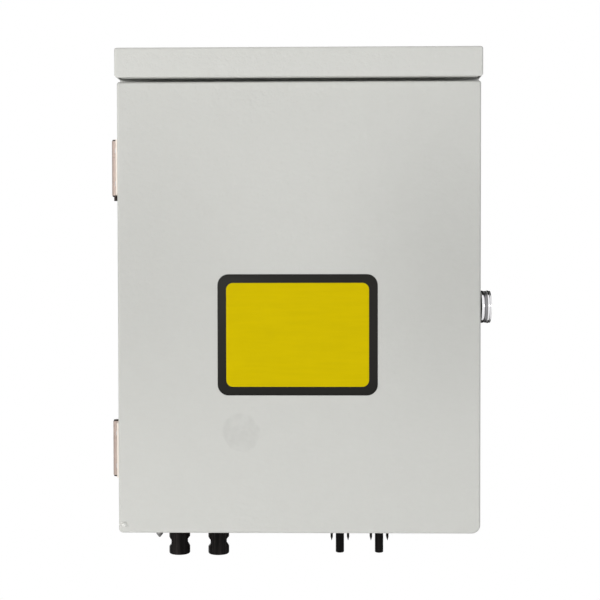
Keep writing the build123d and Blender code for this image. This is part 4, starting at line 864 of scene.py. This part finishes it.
def white_for_eye(tree):
    """1 on camera, glossy and transmitted rays, 0 on the rest."""
    path = tree.add("ShaderNodeLightPath").outputs
    seen = tree.add("ShaderNodeMath", path["Is Camera Ray"], path["Is Glossy Ray"], operation="MAXIMUM")
    passed = tree.add("ShaderNodeMath", seen.outputs[0], path["Is Transmission Ray"], operation="MAXIMUM")
    return passed.outputs[0]


def make_world():
    world = bpy.data.worlds.new("studio")
    bpy.context.scene.world = world
    world.use_nodes = True
    world.node_tree.nodes.clear()
    tree = Nodes(world.node_tree)
    room = tree.add("ShaderNodeBackground", (1.0, 0.995, 0.985), settings("stage").room_light)
    white = tree.add("ShaderNodeBackground", (1.0, 1.0, 1.0), 1.0)
    mix = tree.add("ShaderNodeMixShader", white_for_eye(tree), room.outputs[0], white.outputs[0])
    tree.add("ShaderNodeOutputWorld", mix.outputs[0])


def floor_level():
    return CAD_BOX[0][2] - settings("stage").floor_drop


def make_sheet(name, low, high, colour):
    """A flat matt rectangle between two opposite corners that isn't part of the object."""
    mesh = bpy.data.meshes.new(name)
    mesh.from_pydata([low, (high[0], *low[1:]), high, (low[0], *high[1:])], [], [(0, 1, 2, 3)])
    shader = Shader(name, Base_Color=colour, Roughness=0.9)
    mesh.materials.append(shader.material)
    sheet = put(name, mesh)
    return sheet, shader


def make_floor():
    """A pale floor that fades to white away from the object's shadow."""
    level, reach = floor_level(), 9.0
    _, shader = make_sheet("floor", (-reach, -reach, level), (reach, reach, level), (0.93, 0.93, 0.93))
    away = shader.vector_maths("DISTANCE", shader.place, (0.0, 0.0, level), output="Value")
    share = shader.times(white_for_eye(shader), shader.span(away, 0.5, 1.25, 0.80, 1.0))
    glow = shader.add("ShaderNodeEmission").outputs[0]
    mix = shader.add("ShaderNodeMixShader", share, shader.surface.outputs[0], glow)
    shader.join(mix.outputs[0], shader.tree.nodes["Material Output"].inputs["Surface"])


def make_dark_cards():
    """Black cards behind the box, upright, overhead and low, which only reflections show."""
    reach, back, top = 2.2, 0.55, 1.3
    low = floor_level() + 0.002
    cards = {
        "back_card": ((-0.1, back, low), (reach, back, top)),
        "top_card": ((-reach, -0.05, top), (reach, back, top)),
        "low_card": ((-reach, 0.05, low), (reach, back, low)),
    }
    for name, ends in cards.items():
        card, _ = make_sheet(name, *ends, (0.012, 0.012, 0.012))
        card.visible_camera = False
        card.visible_diffuse = False
        card.visible_shadow = False
        card.visible_transmission = False


def make_lamp(name, place, aim, size, power, colour, spread=180.0, mirrored=False):
    """A soft rectangular lamp, which gloss and metal mirror only if asked to."""
    data = bpy.data.lights.new(name, "AREA")
    data.spread = math.radians(spread)
    data.shape = "RECTANGLE"
    data.size, data.size_y = size
    data.energy = power
    data.color = colour
    lamp = put(name, data)
    lamp.visible_glossy = mirrored
    direction = Vector(aim) - Vector(place)
    lamp.matrix_world = Matrix.Translation(place) @ direction.to_track_quat("-Z", "Y").to_matrix().to_4x4()


def make_lamps():
    stage = settings("stage")
    warm, cool, white = (1.0, 0.985, 0.965), (0.97, 0.985, 1.0), (1.0, 0.995, 0.99)
    door, low_front, rear, hood = (0, -0.1, 0), (0, -0.18, -0.15), (0, -0.08, 0), (0, -0.08, 0.2)
    tube, window = (0.8, 0.2), (0.7, 0.7)
    right_low, right_rear = stage.low_power * 0.7, stage.rear_power * 1.9
    make_lamp("key", (-1.7, -2.0, 0.36), door, (1.8, 0.45), stage.key_power, warm, mirrored=True)
    make_lamp("fill", (1.7, -2.0, 0.36), door, (1.6, 0.45), stage.fill_power, cool, mirrored=True)
    make_lamp("front", (0.0, -1.45, 0.27), door, (0.5, 0.2), stage.front_power, (1.0, 0.995, 0.985))
    make_lamp("low_left", (-0.35, -0.62, -0.66), low_front, tube, stage.low_power, (1.0, 0.99, 0.975))
    make_lamp("low_right", (0.45, -0.62, -0.70), low_front, tube, right_low, (1.0, 0.99, 0.98))
    make_lamp("rear_left", (-1.5, 1.3, 0.15), rear, window, stage.rear_power, white, spread=36.0)
    make_lamp("rear_right", (1.5, 1.3, 0.15), rear, window, right_rear, white, spread=36.0)
    make_lamp("top", (0.0, -0.02, 0.95), hood, (0.3, 0.2), stage.top_power, white, spread=60.0)


def make_camera():
    stage = settings("stage")
    yaw, pitch, roll = stage.camera_yaw, stage.camera_pitch, stage.camera_roll
    forward = Vector((math.sin(yaw) * math.cos(pitch), math.cos(yaw) * math.cos(pitch), -math.sin(pitch)))
    level_right = Vector((math.cos(yaw), -math.sin(yaw), 0.0))
    level_up = level_right.cross(forward)
    right = level_right * math.cos(roll) + level_up * math.sin(roll)
    up = -level_right * math.sin(roll) + level_up * math.cos(roll)
    data = bpy.data.cameras.new("camera")
    data.sensor_width = SENSOR
    data.lens = SENSOR * stage.focal_pixels / IMAGE_SIDE
    data.clip_start = 0.01
    data.clip_end = 60.0
    camera = put("camera", data)
    turn = Matrix((right, up, -forward)).transposed().to_4x4()
    camera.matrix_world = Matrix.Translation(stage.camera_place) @ turn
    bpy.context.scene.camera = camera


class COMBINER_OT_stage(bpy.types.Operator):
    """Camera, soft lamps, pale floor, dark cards for reflections and white surroundings"""

    bl_idname = "combiner.stage"
    bl_label = "Stage"

    def execute(self, context):
        context.scene.view_settings.view_transform = "Standard"
        make_camera()
        make_world()
        make_floor()
        make_dark_cards()
        make_lamps()
        return {"FINISHED"}


# ---------------------------------------------------------------- finishes of the CAD nodes


NODE_FINISHES = {
    "grey_paint": "enclosure_body",
    "hood_paint": "rain_hood",
    "door_paint": "door_panel",
    "zinc_steel": "plate_standoffs plate_nuts rail_screws earth_bar_screws door_striker "
                  "lock_cam cam_screw lock_nut",
    "dull_zinc": "earth_stud earth_nuts",
    "galvanised_sheet": "mounting_plate din_rails",
    "hinge_steel": "hinge_body_leaves hinge_door_leaves",
    "pin_steel": "hinge_pins",
    "chrome_zinc": "lock_plug dust_cap_rivet",
    "black_rubber": "lock_gasket connector_seals gland_seals",
    "gasket_foam": "door_gasket",
    "device_grey": "fuse_bases breaker_body spd_base",
    "drawer_grey": "fuse_drawer_1 fuse_drawer_2 fuse_drawer_3 fuse_drawer_4",
    "fuse_ceramic": "fuse_link_1 fuse_link_2 fuse_link_3 fuse_link_4",
    "toggle_black": "breaker_toggle",
    "cartridge_plastic": "spd_cartridge_1 spd_cartridge_2 spd_cartridge_3",
    "copper_bar": "comb_busbars",
    "terminal_steel": "terminal_screws",
    "brass_bar": "earth_bar",
    "post_plastic": "earth_bar_posts",
    "tinned_copper": "earth_lug connector_contacts",
    "connector_black": "wide_connectors slim_connectors connector_locknuts",
    "gland_grey": "gland_bodies gland_caps gland_locknuts",
}


class COMBINER_OT_finishes(bpy.types.Operator):
    """Give each node of the frame its finish"""

    bl_idname = "combiner.finishes"
    bl_label = "Finishes"

    def execute(self, context):
        for finish_name, nodes in NODE_FINISHES.items():
            for node in nodes.split():
                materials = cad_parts[node].data.materials
                materials.clear()
                materials.append(finish(finish_name))
        return {"FINISHED"}


# ---------------------------------------------------------------- placard and nib on the door


class COMBINER_OT_placard(bpy.types.Operator):
    """Blank placard of printed vinyl on the door"""

    bl_idname = "combiner.placard"
    bl_label = "Placard"

    def execute(self, context):
        size = settings("placard")
        inset = 2 * size.border
        outer = rounded_rectangle(size.width, size.height, size.corner)
        inner = rounded_rectangle(size.width - inset, size.height - inset, size.corner - size.border * 0.5)
        face = door_face()
        border = plate("placard_border", outer, (size.centre_x, face, size.centre_z), size.film, 0.05 * MM)
        lifted = (size.centre_x, face - size.film, size.centre_z)
        field = plate("placard_field", inner, lifted, size.film * 0.25)
        link_piece("placard_border", border, "door", "placard_black")
        link_piece("placard_field", field, "door", "placard_yellow")
        return {"FINISHED"}


class COMBINER_OT_nib(bpy.types.Operator):
    """Small coated nib low on the door's hinge side"""

    bl_idname = "combiner.nib"
    bl_label = "Door nib"

    def execute(self, context):
        radius, height, root = 2.2 * MM, 2.4 * MM, -0.3 * MM
        profile = [(0, root), (radius, root), (radius, 0)]
        profile += [(r * radius, z * height) for r, z in arc((0, 0), 1.0, 10, 80, 7)] + [(0, height)]
        spot = (-145.0 * MM, door_face(), -192.0 * MM)
        dome = turned("door_nib", profile, spot, FORWARD, 32)
        # The nib takes the lighter coat, a painted highlight.
        link_piece("door_nib", dome, "door", "nib_paint_painted_highlight")
        return {"FINISHED"}


# ---------------------------------------------------------------- lock


BARREL_RADIUS = 9.0 * MM
WAIST_RADIUS = 13.4 * MM
LIP_DEPTH = 1.2 * MM
FLANGE_DEPTH = 4.0 * MM
WAIST_DEPTH = 2.1 * MM


class COMBINER_OT_lock(bpy.types.Operator):
    """Chrome lock housing, turned with rounded rims, its rubber lip and its swinging dust cap"""

    bl_idname = "combiner.lock"
    bl_label = "Lock"

    def execute(self, context):
        pad_low, pad_high = corners("lock_gasket")
        flange = (pad_high.z - pad_low.z) / 2
        foot = flange - 1.0 * MM
        pad = pad_high.x
        lip_out, flange_out = pad + LIP_DEPTH, pad + FLANGE_DEPTH
        self.turn_shell(foot, flange, pad, lip_out, flange_out)
        self.turn_collar(flange_out)
        self.turn_lip(foot, flange, pad, lip_out)
        self.turn_cap()
        return {"FINISHED"}

    def turn(self, name, profile, node="lock_housing"):
        """A solid turned about the axis of one of the lock's nodes."""
        return turned(name, profile, (0, *middle(node).yz), ACROSS, 96)

    def turn_shell(self, foot, flange, pad, lip_out, flange_out):
        """The housing: threaded barrel, foot behind the lip, rounded flange, waist and head."""
        low, high = corners("lock_housing")
        plug_low, plug_high = corners("lock_plug")
        bore = (plug_high.y - plug_low.y) / 2 + 0.05 * MM
        head, waist_out = (high.z - low.z) / 2, flange_out + WAIST_DEPTH
        chamfer, pitch, depth, rim, edge = 0.4 * MM, 1.5 * MM, 0.45 * MM, 1.5 * MM, 0.6 * MM
        profile = [(bore, low.x), (BARREL_RADIUS - chamfer, low.x), (BARREL_RADIUS, low.x + chamfer)]
        for thread in range(int((pad - low.x - 2 * MM) / pitch)):
            root = low.x + 0.8 * MM + thread * pitch
            profile += [(BARREL_RADIUS - depth, root + pitch * 0.5), (BARREL_RADIUS, root + pitch)]
        profile += [(BARREL_RADIUS, pad), (foot, pad), (foot, lip_out), (flange - 0.3 * MM, lip_out)]
        profile += arc((flange - 0.2 * MM, lip_out + 0.2 * MM), 0.2 * MM, -90, 0, 3)
        profile += arc((flange - rim, flange_out - rim), rim, 0, 75, 7)
        profile += [(WAIST_RADIUS - 0.2 * MM, flange_out), (WAIST_RADIUS - 0.2 * MM, waist_out)]
        profile += arc((head - 0.3 * MM, waist_out + 0.3 * MM), 0.3 * MM, -90, 0, 3)
        profile += arc((head - edge, high.x - edge), edge, 0, 90, 5)
        profile += [(bore + chamfer, high.x), (bore, high.x - chamfer)]
        housing = self.turn("lock_shell", profile)
        shell = link_piece("lock_shell", housing, "enclosure", "chrome_zinc")
        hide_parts("lock_housing")

    def turn_collar(self, flange_out):
        """The darker ring round the waist."""
        waist_out, edge = flange_out + WAIST_DEPTH, 0.1 * MM
        inner = WAIST_RADIUS - edge
        band = [(BARREL_RADIUS, flange_out), (inner, flange_out), (WAIST_RADIUS, flange_out + edge)]
        band += [(WAIST_RADIUS, waist_out - edge), (inner, waist_out), (BARREL_RADIUS, waist_out)]
        collar = self.turn("lock_collar", band)
        link_piece("lock_collar", collar, "enclosure", "dull_chrome")

    def turn_lip(self, foot, flange, pad, lip_out):
        """The rubber lip round the flange's foot; its near-black matt colour is also painted shade for the
        dark gap beside the door's edge.
        """
        inner, edge = foot + 0.02 * MM, 0.15 * MM
        cuff = [(inner, pad), (flange, pad), (flange, lip_out - edge)]
        cuff += [(flange - edge, lip_out), (inner, lip_out)]
        link_piece("lock_lip", self.turn("lock_lip", cuff), "enclosure", "lip_rubber")

    def turn_cap(self):
        """The dust cap: a disc with rounded rims and a shallow recess in its face."""
        low, high = corners("dust_cap")
        radius = (high.z - low.z) / 2
        recess = high.x - (high.x - low.x) * 0.12
        back, front = 0.2 * MM, 0.6 * MM
        profile = [(0, low.x), (radius - back, low.x)]
        profile += arc((radius - back, low.x + back), back, -90, 0, 2)
        profile += arc((radius - front, high.x - front), front, 0, 90, 5)
        profile += [(radius * 0.62, high.x), (radius * 0.60, recess), (0, recess)]
        disc = self.turn("lock_cap", profile, "dust_cap")
        cap = link_piece("lock_cap", disc, "dust_cap", "chrome_zinc")
        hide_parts("dust_cap")


# ---------------------------------------------------------------- rivets


RIVET_HEAD = 1.3 * MM


def blind_rivet(length):
    """A blind rivet pointing up +Z from its seat: domed head with a hollow, shank and spread tail."""
    wide, head, shank, tail_wide, tail = 3.5 * MM, RIVET_HEAD, 2.0 * MM, 2.8 * MM, 2.0 * MM
    hollow = wide * 0.30
    profile = [(0, -length), (tail_wide * 0.5, -length), (tail_wide * 0.9, -length + tail * 0.2)]
    profile += [(tail_wide, -length + tail * 0.8), (shank, -length + tail), (shank, 0)]
    profile += [(wide * 0.98, 0), (wide, head * 0.2), (wide * 0.85, head * 0.66), (wide * 0.55, head)]
    profile += [(hollow, head * 0.98), (hollow * 0.8, head * 0.55), (0, head * 0.55)]
    return turned("blind_rivet", profile, (0, 0, 0), UP, 32)


class COMBINER_OT_rivets(bpy.types.Operator):
    """Blind rivets of the hood and the hinges"""

    bl_idname = "combiner.rivets"
    bl_label = "Rivets"

    def execute(self, context):
        upright, sideways = (0.0, 0.0, 0.0), (0.0, -math.pi / 2, 0.0)
        self.set_rivets("hood_rivets", "enclosure", upright, 2, 1)
        self.set_rivets("body_hinge_rivets", "enclosure", sideways, 0, -1)
        self.set_rivets("door_hinge_rivets", "door", sideways, 0, -1)
        return {"FINISHED"}

    def set_rivets(self, node, body, turn, along, outward):
        """Turned rivets in place of a node's, which lie along that axis with their heads that way."""
        parts = loose_parts(node)
        piece = blind_rivet(parts[0][1][along] - RIVET_HEAD)
        seats = []
        for centre, extent in parts:
            seat = centre.copy()
            seat[along] += outward * (extent[along] / 2 - RIVET_HEAD)
            seats.append(seat)
        name = f"{node}_turned"
        mesh = copies_on(seats, piece, "zinc_steel", name, turn)
        rivets = link_piece(name, mesh, body, "zinc_steel")
        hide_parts(node)


# ---------------------------------------------------------------- glands and connectors


class COMBINER_OT_glands(bpy.types.Operator):
    """Grip ribs round the gland caps and the connectors' flanges"""

    bl_idname = "combiner.glands"
    bl_label = "Glands and connectors"

    def execute(self, context):
        detail = settings("detail")
        ribs = []
        for centre, extent in loose_parts("gland_caps"):
            height = extent.z * 0.62
            place = (centre.x, centre.y, centre.z + extent.z / 2 - height / 2 - 0.4 * MM)
            size = (0.5 * MM, 0.9 * MM, height)
            ribs.append(self.bars(place, extent.x / 2, detail.cap_ribs, size, "gland_grey"))
        self.add_ribs("gland_cap_ribs", ribs, 0.15 * MM, "gland_grey")
        flange_radius, size = 11.0 * MM, (0.6 * MM, 1.3 * MM, 3.0 * MM)
        height = corners("connector_seals")[0].z - 2.0 * MM
        grips = []
        for centre, _ in loose_parts("wide_connectors") + loose_parts("slim_connectors"):
            place = (centre.x, centre.y, height)
            grips.append(self.bars(place, flange_radius, detail.connector_ribs, size, "connector_black"))
        self.add_ribs("connector_grips", grips, 0.2 * MM, "connector_black")
        return {"FINISHED"}

    def bars(self, place, radius, count, size, finish_name):
        """A ring of upright bars as one mesh."""
        start = points_holder("ring_start", [(0, 0, 0), (0, 0, 1 * MM)])
        sizes = {"Count": count, "Radius": radius, "Bar_Size": size, "Place": place}
        return grown(start, ring_tree(), "bars", finish_name, **sizes)

    def add_ribs(self, name, rings, bevel, finish_name):
        mesh = bevelled(joined(name, rings), bevel, 2)
        link_piece(name, mesh, "enclosure", finish_name)


# ---------------------------------------------------------------- devices on the rails


class COMBINER_OT_devices(bpy.types.Operator):
    """Windows, lamps, blank labels and grip lines on the rail devices"""

    bl_idname = "combiner.devices"
    bl_label = "Devices"

    def execute(self, context):
        for number in range(1, 5):
            self.drawer(f"fuse_drawer_{number}")
            self.link(f"fuse_link_{number}", f"fuse_drawer_{number}")
        for number in range(1, 4):
            self.cartridge(f"spd_cartridge_{number}")
        self.breaker()
        return {"FINISHED"}

    def drawer(self, node):
        """A red lamp lens, a blank label and grip lines on a fuse drawer."""
        low, high = corners(node)
        face = low.y + 4.0 * MM
        x = middle(node).x
        lens_low = (x - 1.9 * MM, face + 0.2 * MM, high.z - 16.8 * MM)
        lens_high = (x + 1.9 * MM, face + 0.9 * MM, high.z - 11.2 * MM)
        link_piece(f"{node}_lens", block("lens", lens_low, lens_high, 0.3 * MM), node, "red_lens")
        label = blank_label(12 * MM, 15 * MM, (x, face, low.z + 15 * MM))
        link_piece(f"{node}_label", label, node, "device_label")
        lines = []
        for below_top in (9.0 * MM, 10.8 * MM):
            line_low = (x - 6 * MM, face - 0.45 * MM, high.z - below_top)
            line_high = (x + 6 * MM, face + 0.2 * MM, high.z - below_top + 0.8 * MM)
            lines.append(block("line", line_low, line_high, 0.15 * MM))
        link_piece(f"{node}_grip", joined("grip", lines), node, "drawer_grey")

    def link(self, node, body):
        """A fuse link's ceramic tube, with bright end caps over its ends."""
        low, high = corners(node)
        centre = middle(node)
        radius = (high.x - low.x) / 2
        length = 9.0 * MM
        profile = [(0, 0), (radius - 0.7 * MM, 0), (radius - 0.2 * MM, 0.2 * MM), (radius, 0.7 * MM)]
        profile += [(radius, length - 0.3 * MM), (radius - 0.15 * MM, length), (0, length)]
        ends = ((low.z, 1), (high.z, -1))
        caps = [turned("cap", profile, (centre.x, centre.y, base), (0, 0, way), 40) for base, way in ends]
        inner, bottom, top = radius - 0.15 * MM, low.z + 8 * MM, high.z - 8 * MM
        profile = [(0, bottom), (inner, bottom), (inner, top), (0, top)]
        tube = turned("tube", profile, (centre.x, centre.y, 0), UP, 40)
        ceramic = link_piece(f"{node}_tube", tube, body, "fuse_ceramic")
        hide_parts(node)
        link_piece(f"{node}_caps", joined("caps", caps), body, "fuse_caps")

    def cartridge(self, node):
        """A green window and a blank label on a surge cartridge."""
        face = corners(node)[0].y
        x, _, z = middle(node)
        window_low = (x - 2.4 * MM, face + 0.25 * MM, z + 4.1 * MM)
        window_high = (x + 2.4 * MM, face + 0.75 * MM, z + 8.9 * MM)
        window = block("window", window_low, window_high, 0.2 * MM)
        link_piece(f"{node}_window", window, node, "green_window")
        label = blank_label(13 * MM, 20 * MM, (x, face, z - 9 * MM))
        link_piece(f"{node}_label", label, node, "device_label")

    def breaker(self):
        """A blank label and two test windows on the breaker's front."""
        face = corners("breaker_body")[0].y
        z = middle("breaker_body").z
        label = blank_label(30 * MM, 9 * MM, (0, face, z - 15.5 * MM))
        link_piece("breaker_label", label, "enclosure", "device_label")
        lenses = []
        for x in (-9 * MM, 9 * MM):
            lens_low = (x - 2 * MM, face - 0.2 * MM, z + 14.2 * MM)
            lens_high = (x + 2 * MM, face + 0.3 * MM, z + 17.2 * MM)
            lenses.append(block("lens", lens_low, lens_high, 0.2 * MM))
        link_piece("breaker_windows", joined("windows", lenses), "enclosure", "red_lens")


# ---------------------------------------------------------------- wiring


# Each route's points are (x, depth from the wall, z) in millimetres.
WIRE_ROUTES = {
    "red_wires": (
        ((-109, 90, -186), (-109, 90, -152), (-81, 40, -75), (-81, 40, 51)),
        ((-74, 90, -186), (-74, 90, -152), (-63, 40, -75), (-63, 40, 51)),
        ((-63, 40, 119), (-63, 40, 152), (-34.1, 45, 152), (-34.1, 55, 34), (-9, 55, 22), (-9, 55, 2)),
        ((-81, 40, 119), (-81, 40, 172), (-18, 55, 172), (-18, 55, 122)),
    ),
    "black_wires": (
        ((34.5, 90, -186), (34.5, 90, -152), (63, 40, -75), (63, 40, 51)),
        ((69.5, 90, -186), (69.5, 90, -152), (81, 40, -75), (81, 40, 51)),
        ((63, 40, 119), (63, 40, 152), (34.1, 45, 152), (34.1, 55, 34), (9, 55, 22), (9, 55, 2)),
        ((81, 40, 119), (81, 40, 172), (18, 55, 172), (18, 55, 122)),
    ),
    "earth_wires": (
        ((0, 55, 48), (0, 55, 28), (30, 30.5, 23), (100, 30.5, 23), (100, 30.5, -132)),
        ((80, 30.5, -128), (80, 30.5, -171), (-104, 25.5, -174), (-127, 44.5, -190.7), (-127, 79.5, -190.7)),
    ),
}
WIRE_FINISHES = {"red_wires": "wire_red", "black_wires": "wire_black", "earth_wires": "wire_green"}
FUSE_COLUMNS = (-81, -63, 63, 81)


def placed(point):
    """A place in the frame from (x, depth from the wall, z) in millimetres."""
    x, depth, z = point
    return Vector((x, -depth, z)) * MM


class COMBINER_OT_wiring(bpy.types.Operator):
    """Sheathed wires with ferrule sleeves where they enter a terminal"""

    bl_idname = "combiner.wiring"
    bl_label = "Wiring"

    def execute(self, context):
        detail = settings("detail")
        radius = detail.wire_diameter / 2
        for node, wires in WIRE_ROUTES.items():
            name, sheath = f"{node}_sheaths", WIRE_FINISHES[node]
            tubes = [self.tube(wire, radius, detail.wire_sides, sheath) for wire in wires]
            sheaths = link_piece(name, joined(name, tubes), "enclosure", sheath)
            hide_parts(node)
        self.ferrules(radius, detail.ferrule_length)
        return {"FINISHED"}

    def tube(self, wire, radius, sides, sheath):
        """One wire's round sheath along its route."""
        route = points_holder("wire_route", smooth_line([placed(point) for point in wire]))
        return grown(route, tube_tree(), "wire", sheath, 60.0, Radius=radius, Sides=sides)

    def ferrules(self, radius, reach):
        """A flared sleeve on each wire just outside its terminal."""
        inner, outer, root = radius - 0.1 * MM, radius + 0.45 * MM, -1.0 * MM
        flare = outer + 0.3 * MM
        profile = [(inner, root), (outer, root), (outer, reach * 0.8), (flare, reach * 0.9), (flare, reach)]
        profile += [(inner, reach)]
        upward = [(x, 40, 127) for x in FUSE_COLUMNS] + [(x, 55, 10) for x in (-9, 9)]
        upward += [(x, 55, 130) for x in (-18, 18)]
        downward = [(x, 40, 43) for x in FUSE_COLUMNS] + [(0, 55, 40)]
        for way, spots, tip in (("up", upward, 0.0), ("down", downward, math.pi)):
            sleeve = turned("sleeve", profile, (0, 0, 0), UP, 24)
            name, places = f"ferrules_{way}", [placed(spot) for spot in spots]
            mesh = copies_on(places, sleeve, "ferrule_red", name, (tip, 0.0, 0.0))
            link_piece(name, mesh, "enclosure", "ferrule_red")


# ---------------------------------------------------------------- panel and registration


OPERATORS = (
    COMBINER_OT_stage,
    COMBINER_OT_finishes,
    COMBINER_OT_placard,
    COMBINER_OT_nib,
    COMBINER_OT_lock,
    COMBINER_OT_rivets,
    COMBINER_OT_glands,
    COMBINER_OT_devices,
    COMBINER_OT_wiring,
)


class COMBINER_PT_panel(bpy.types.Panel):
    """Lists every step of the dressing and its settings"""

    bl_idname = "COMBINER_PT_panel"
    bl_label = "Combiner box"
    bl_space_type = "VIEW_3D"
    bl_region_type = "UI"
    bl_category = "Combiner box"

    def draw(self, context):
        for operator in OPERATORS:
            self.layout.operator(operator.bl_idname)
        for group in SETTINGS:
            values = getattr(context.scene, group)
            box = self.layout.box()
            for name in values.bl_rna.properties.keys():
                if name not in ("rna_type", "name"):
                    box.prop(values, name)


def register():
    for name, group in SETTINGS.items():
        bpy.utils.register_class(group)
        setattr(bpy.types.Scene, name, PointerProperty(type=group))
    for operator in OPERATORS:
        bpy.utils.register_class(operator)
    bpy.utils.register_class(COMBINER_PT_panel)


def unregister():
    bpy.utils.unregister_class(COMBINER_PT_panel)
    for operator in reversed(OPERATORS):
        bpy.utils.unregister_class(operator)
    for name, group in SETTINGS.items():
        delattr(bpy.types.Scene, name)
        bpy.utils.unregister_class(group)


def main():
    register()
    for operator in OPERATORS:
        group, name = operator.bl_idname.split(".")
        getattr(getattr(bpy.ops, group), name)()


if __name__ == "__main__":
    main()
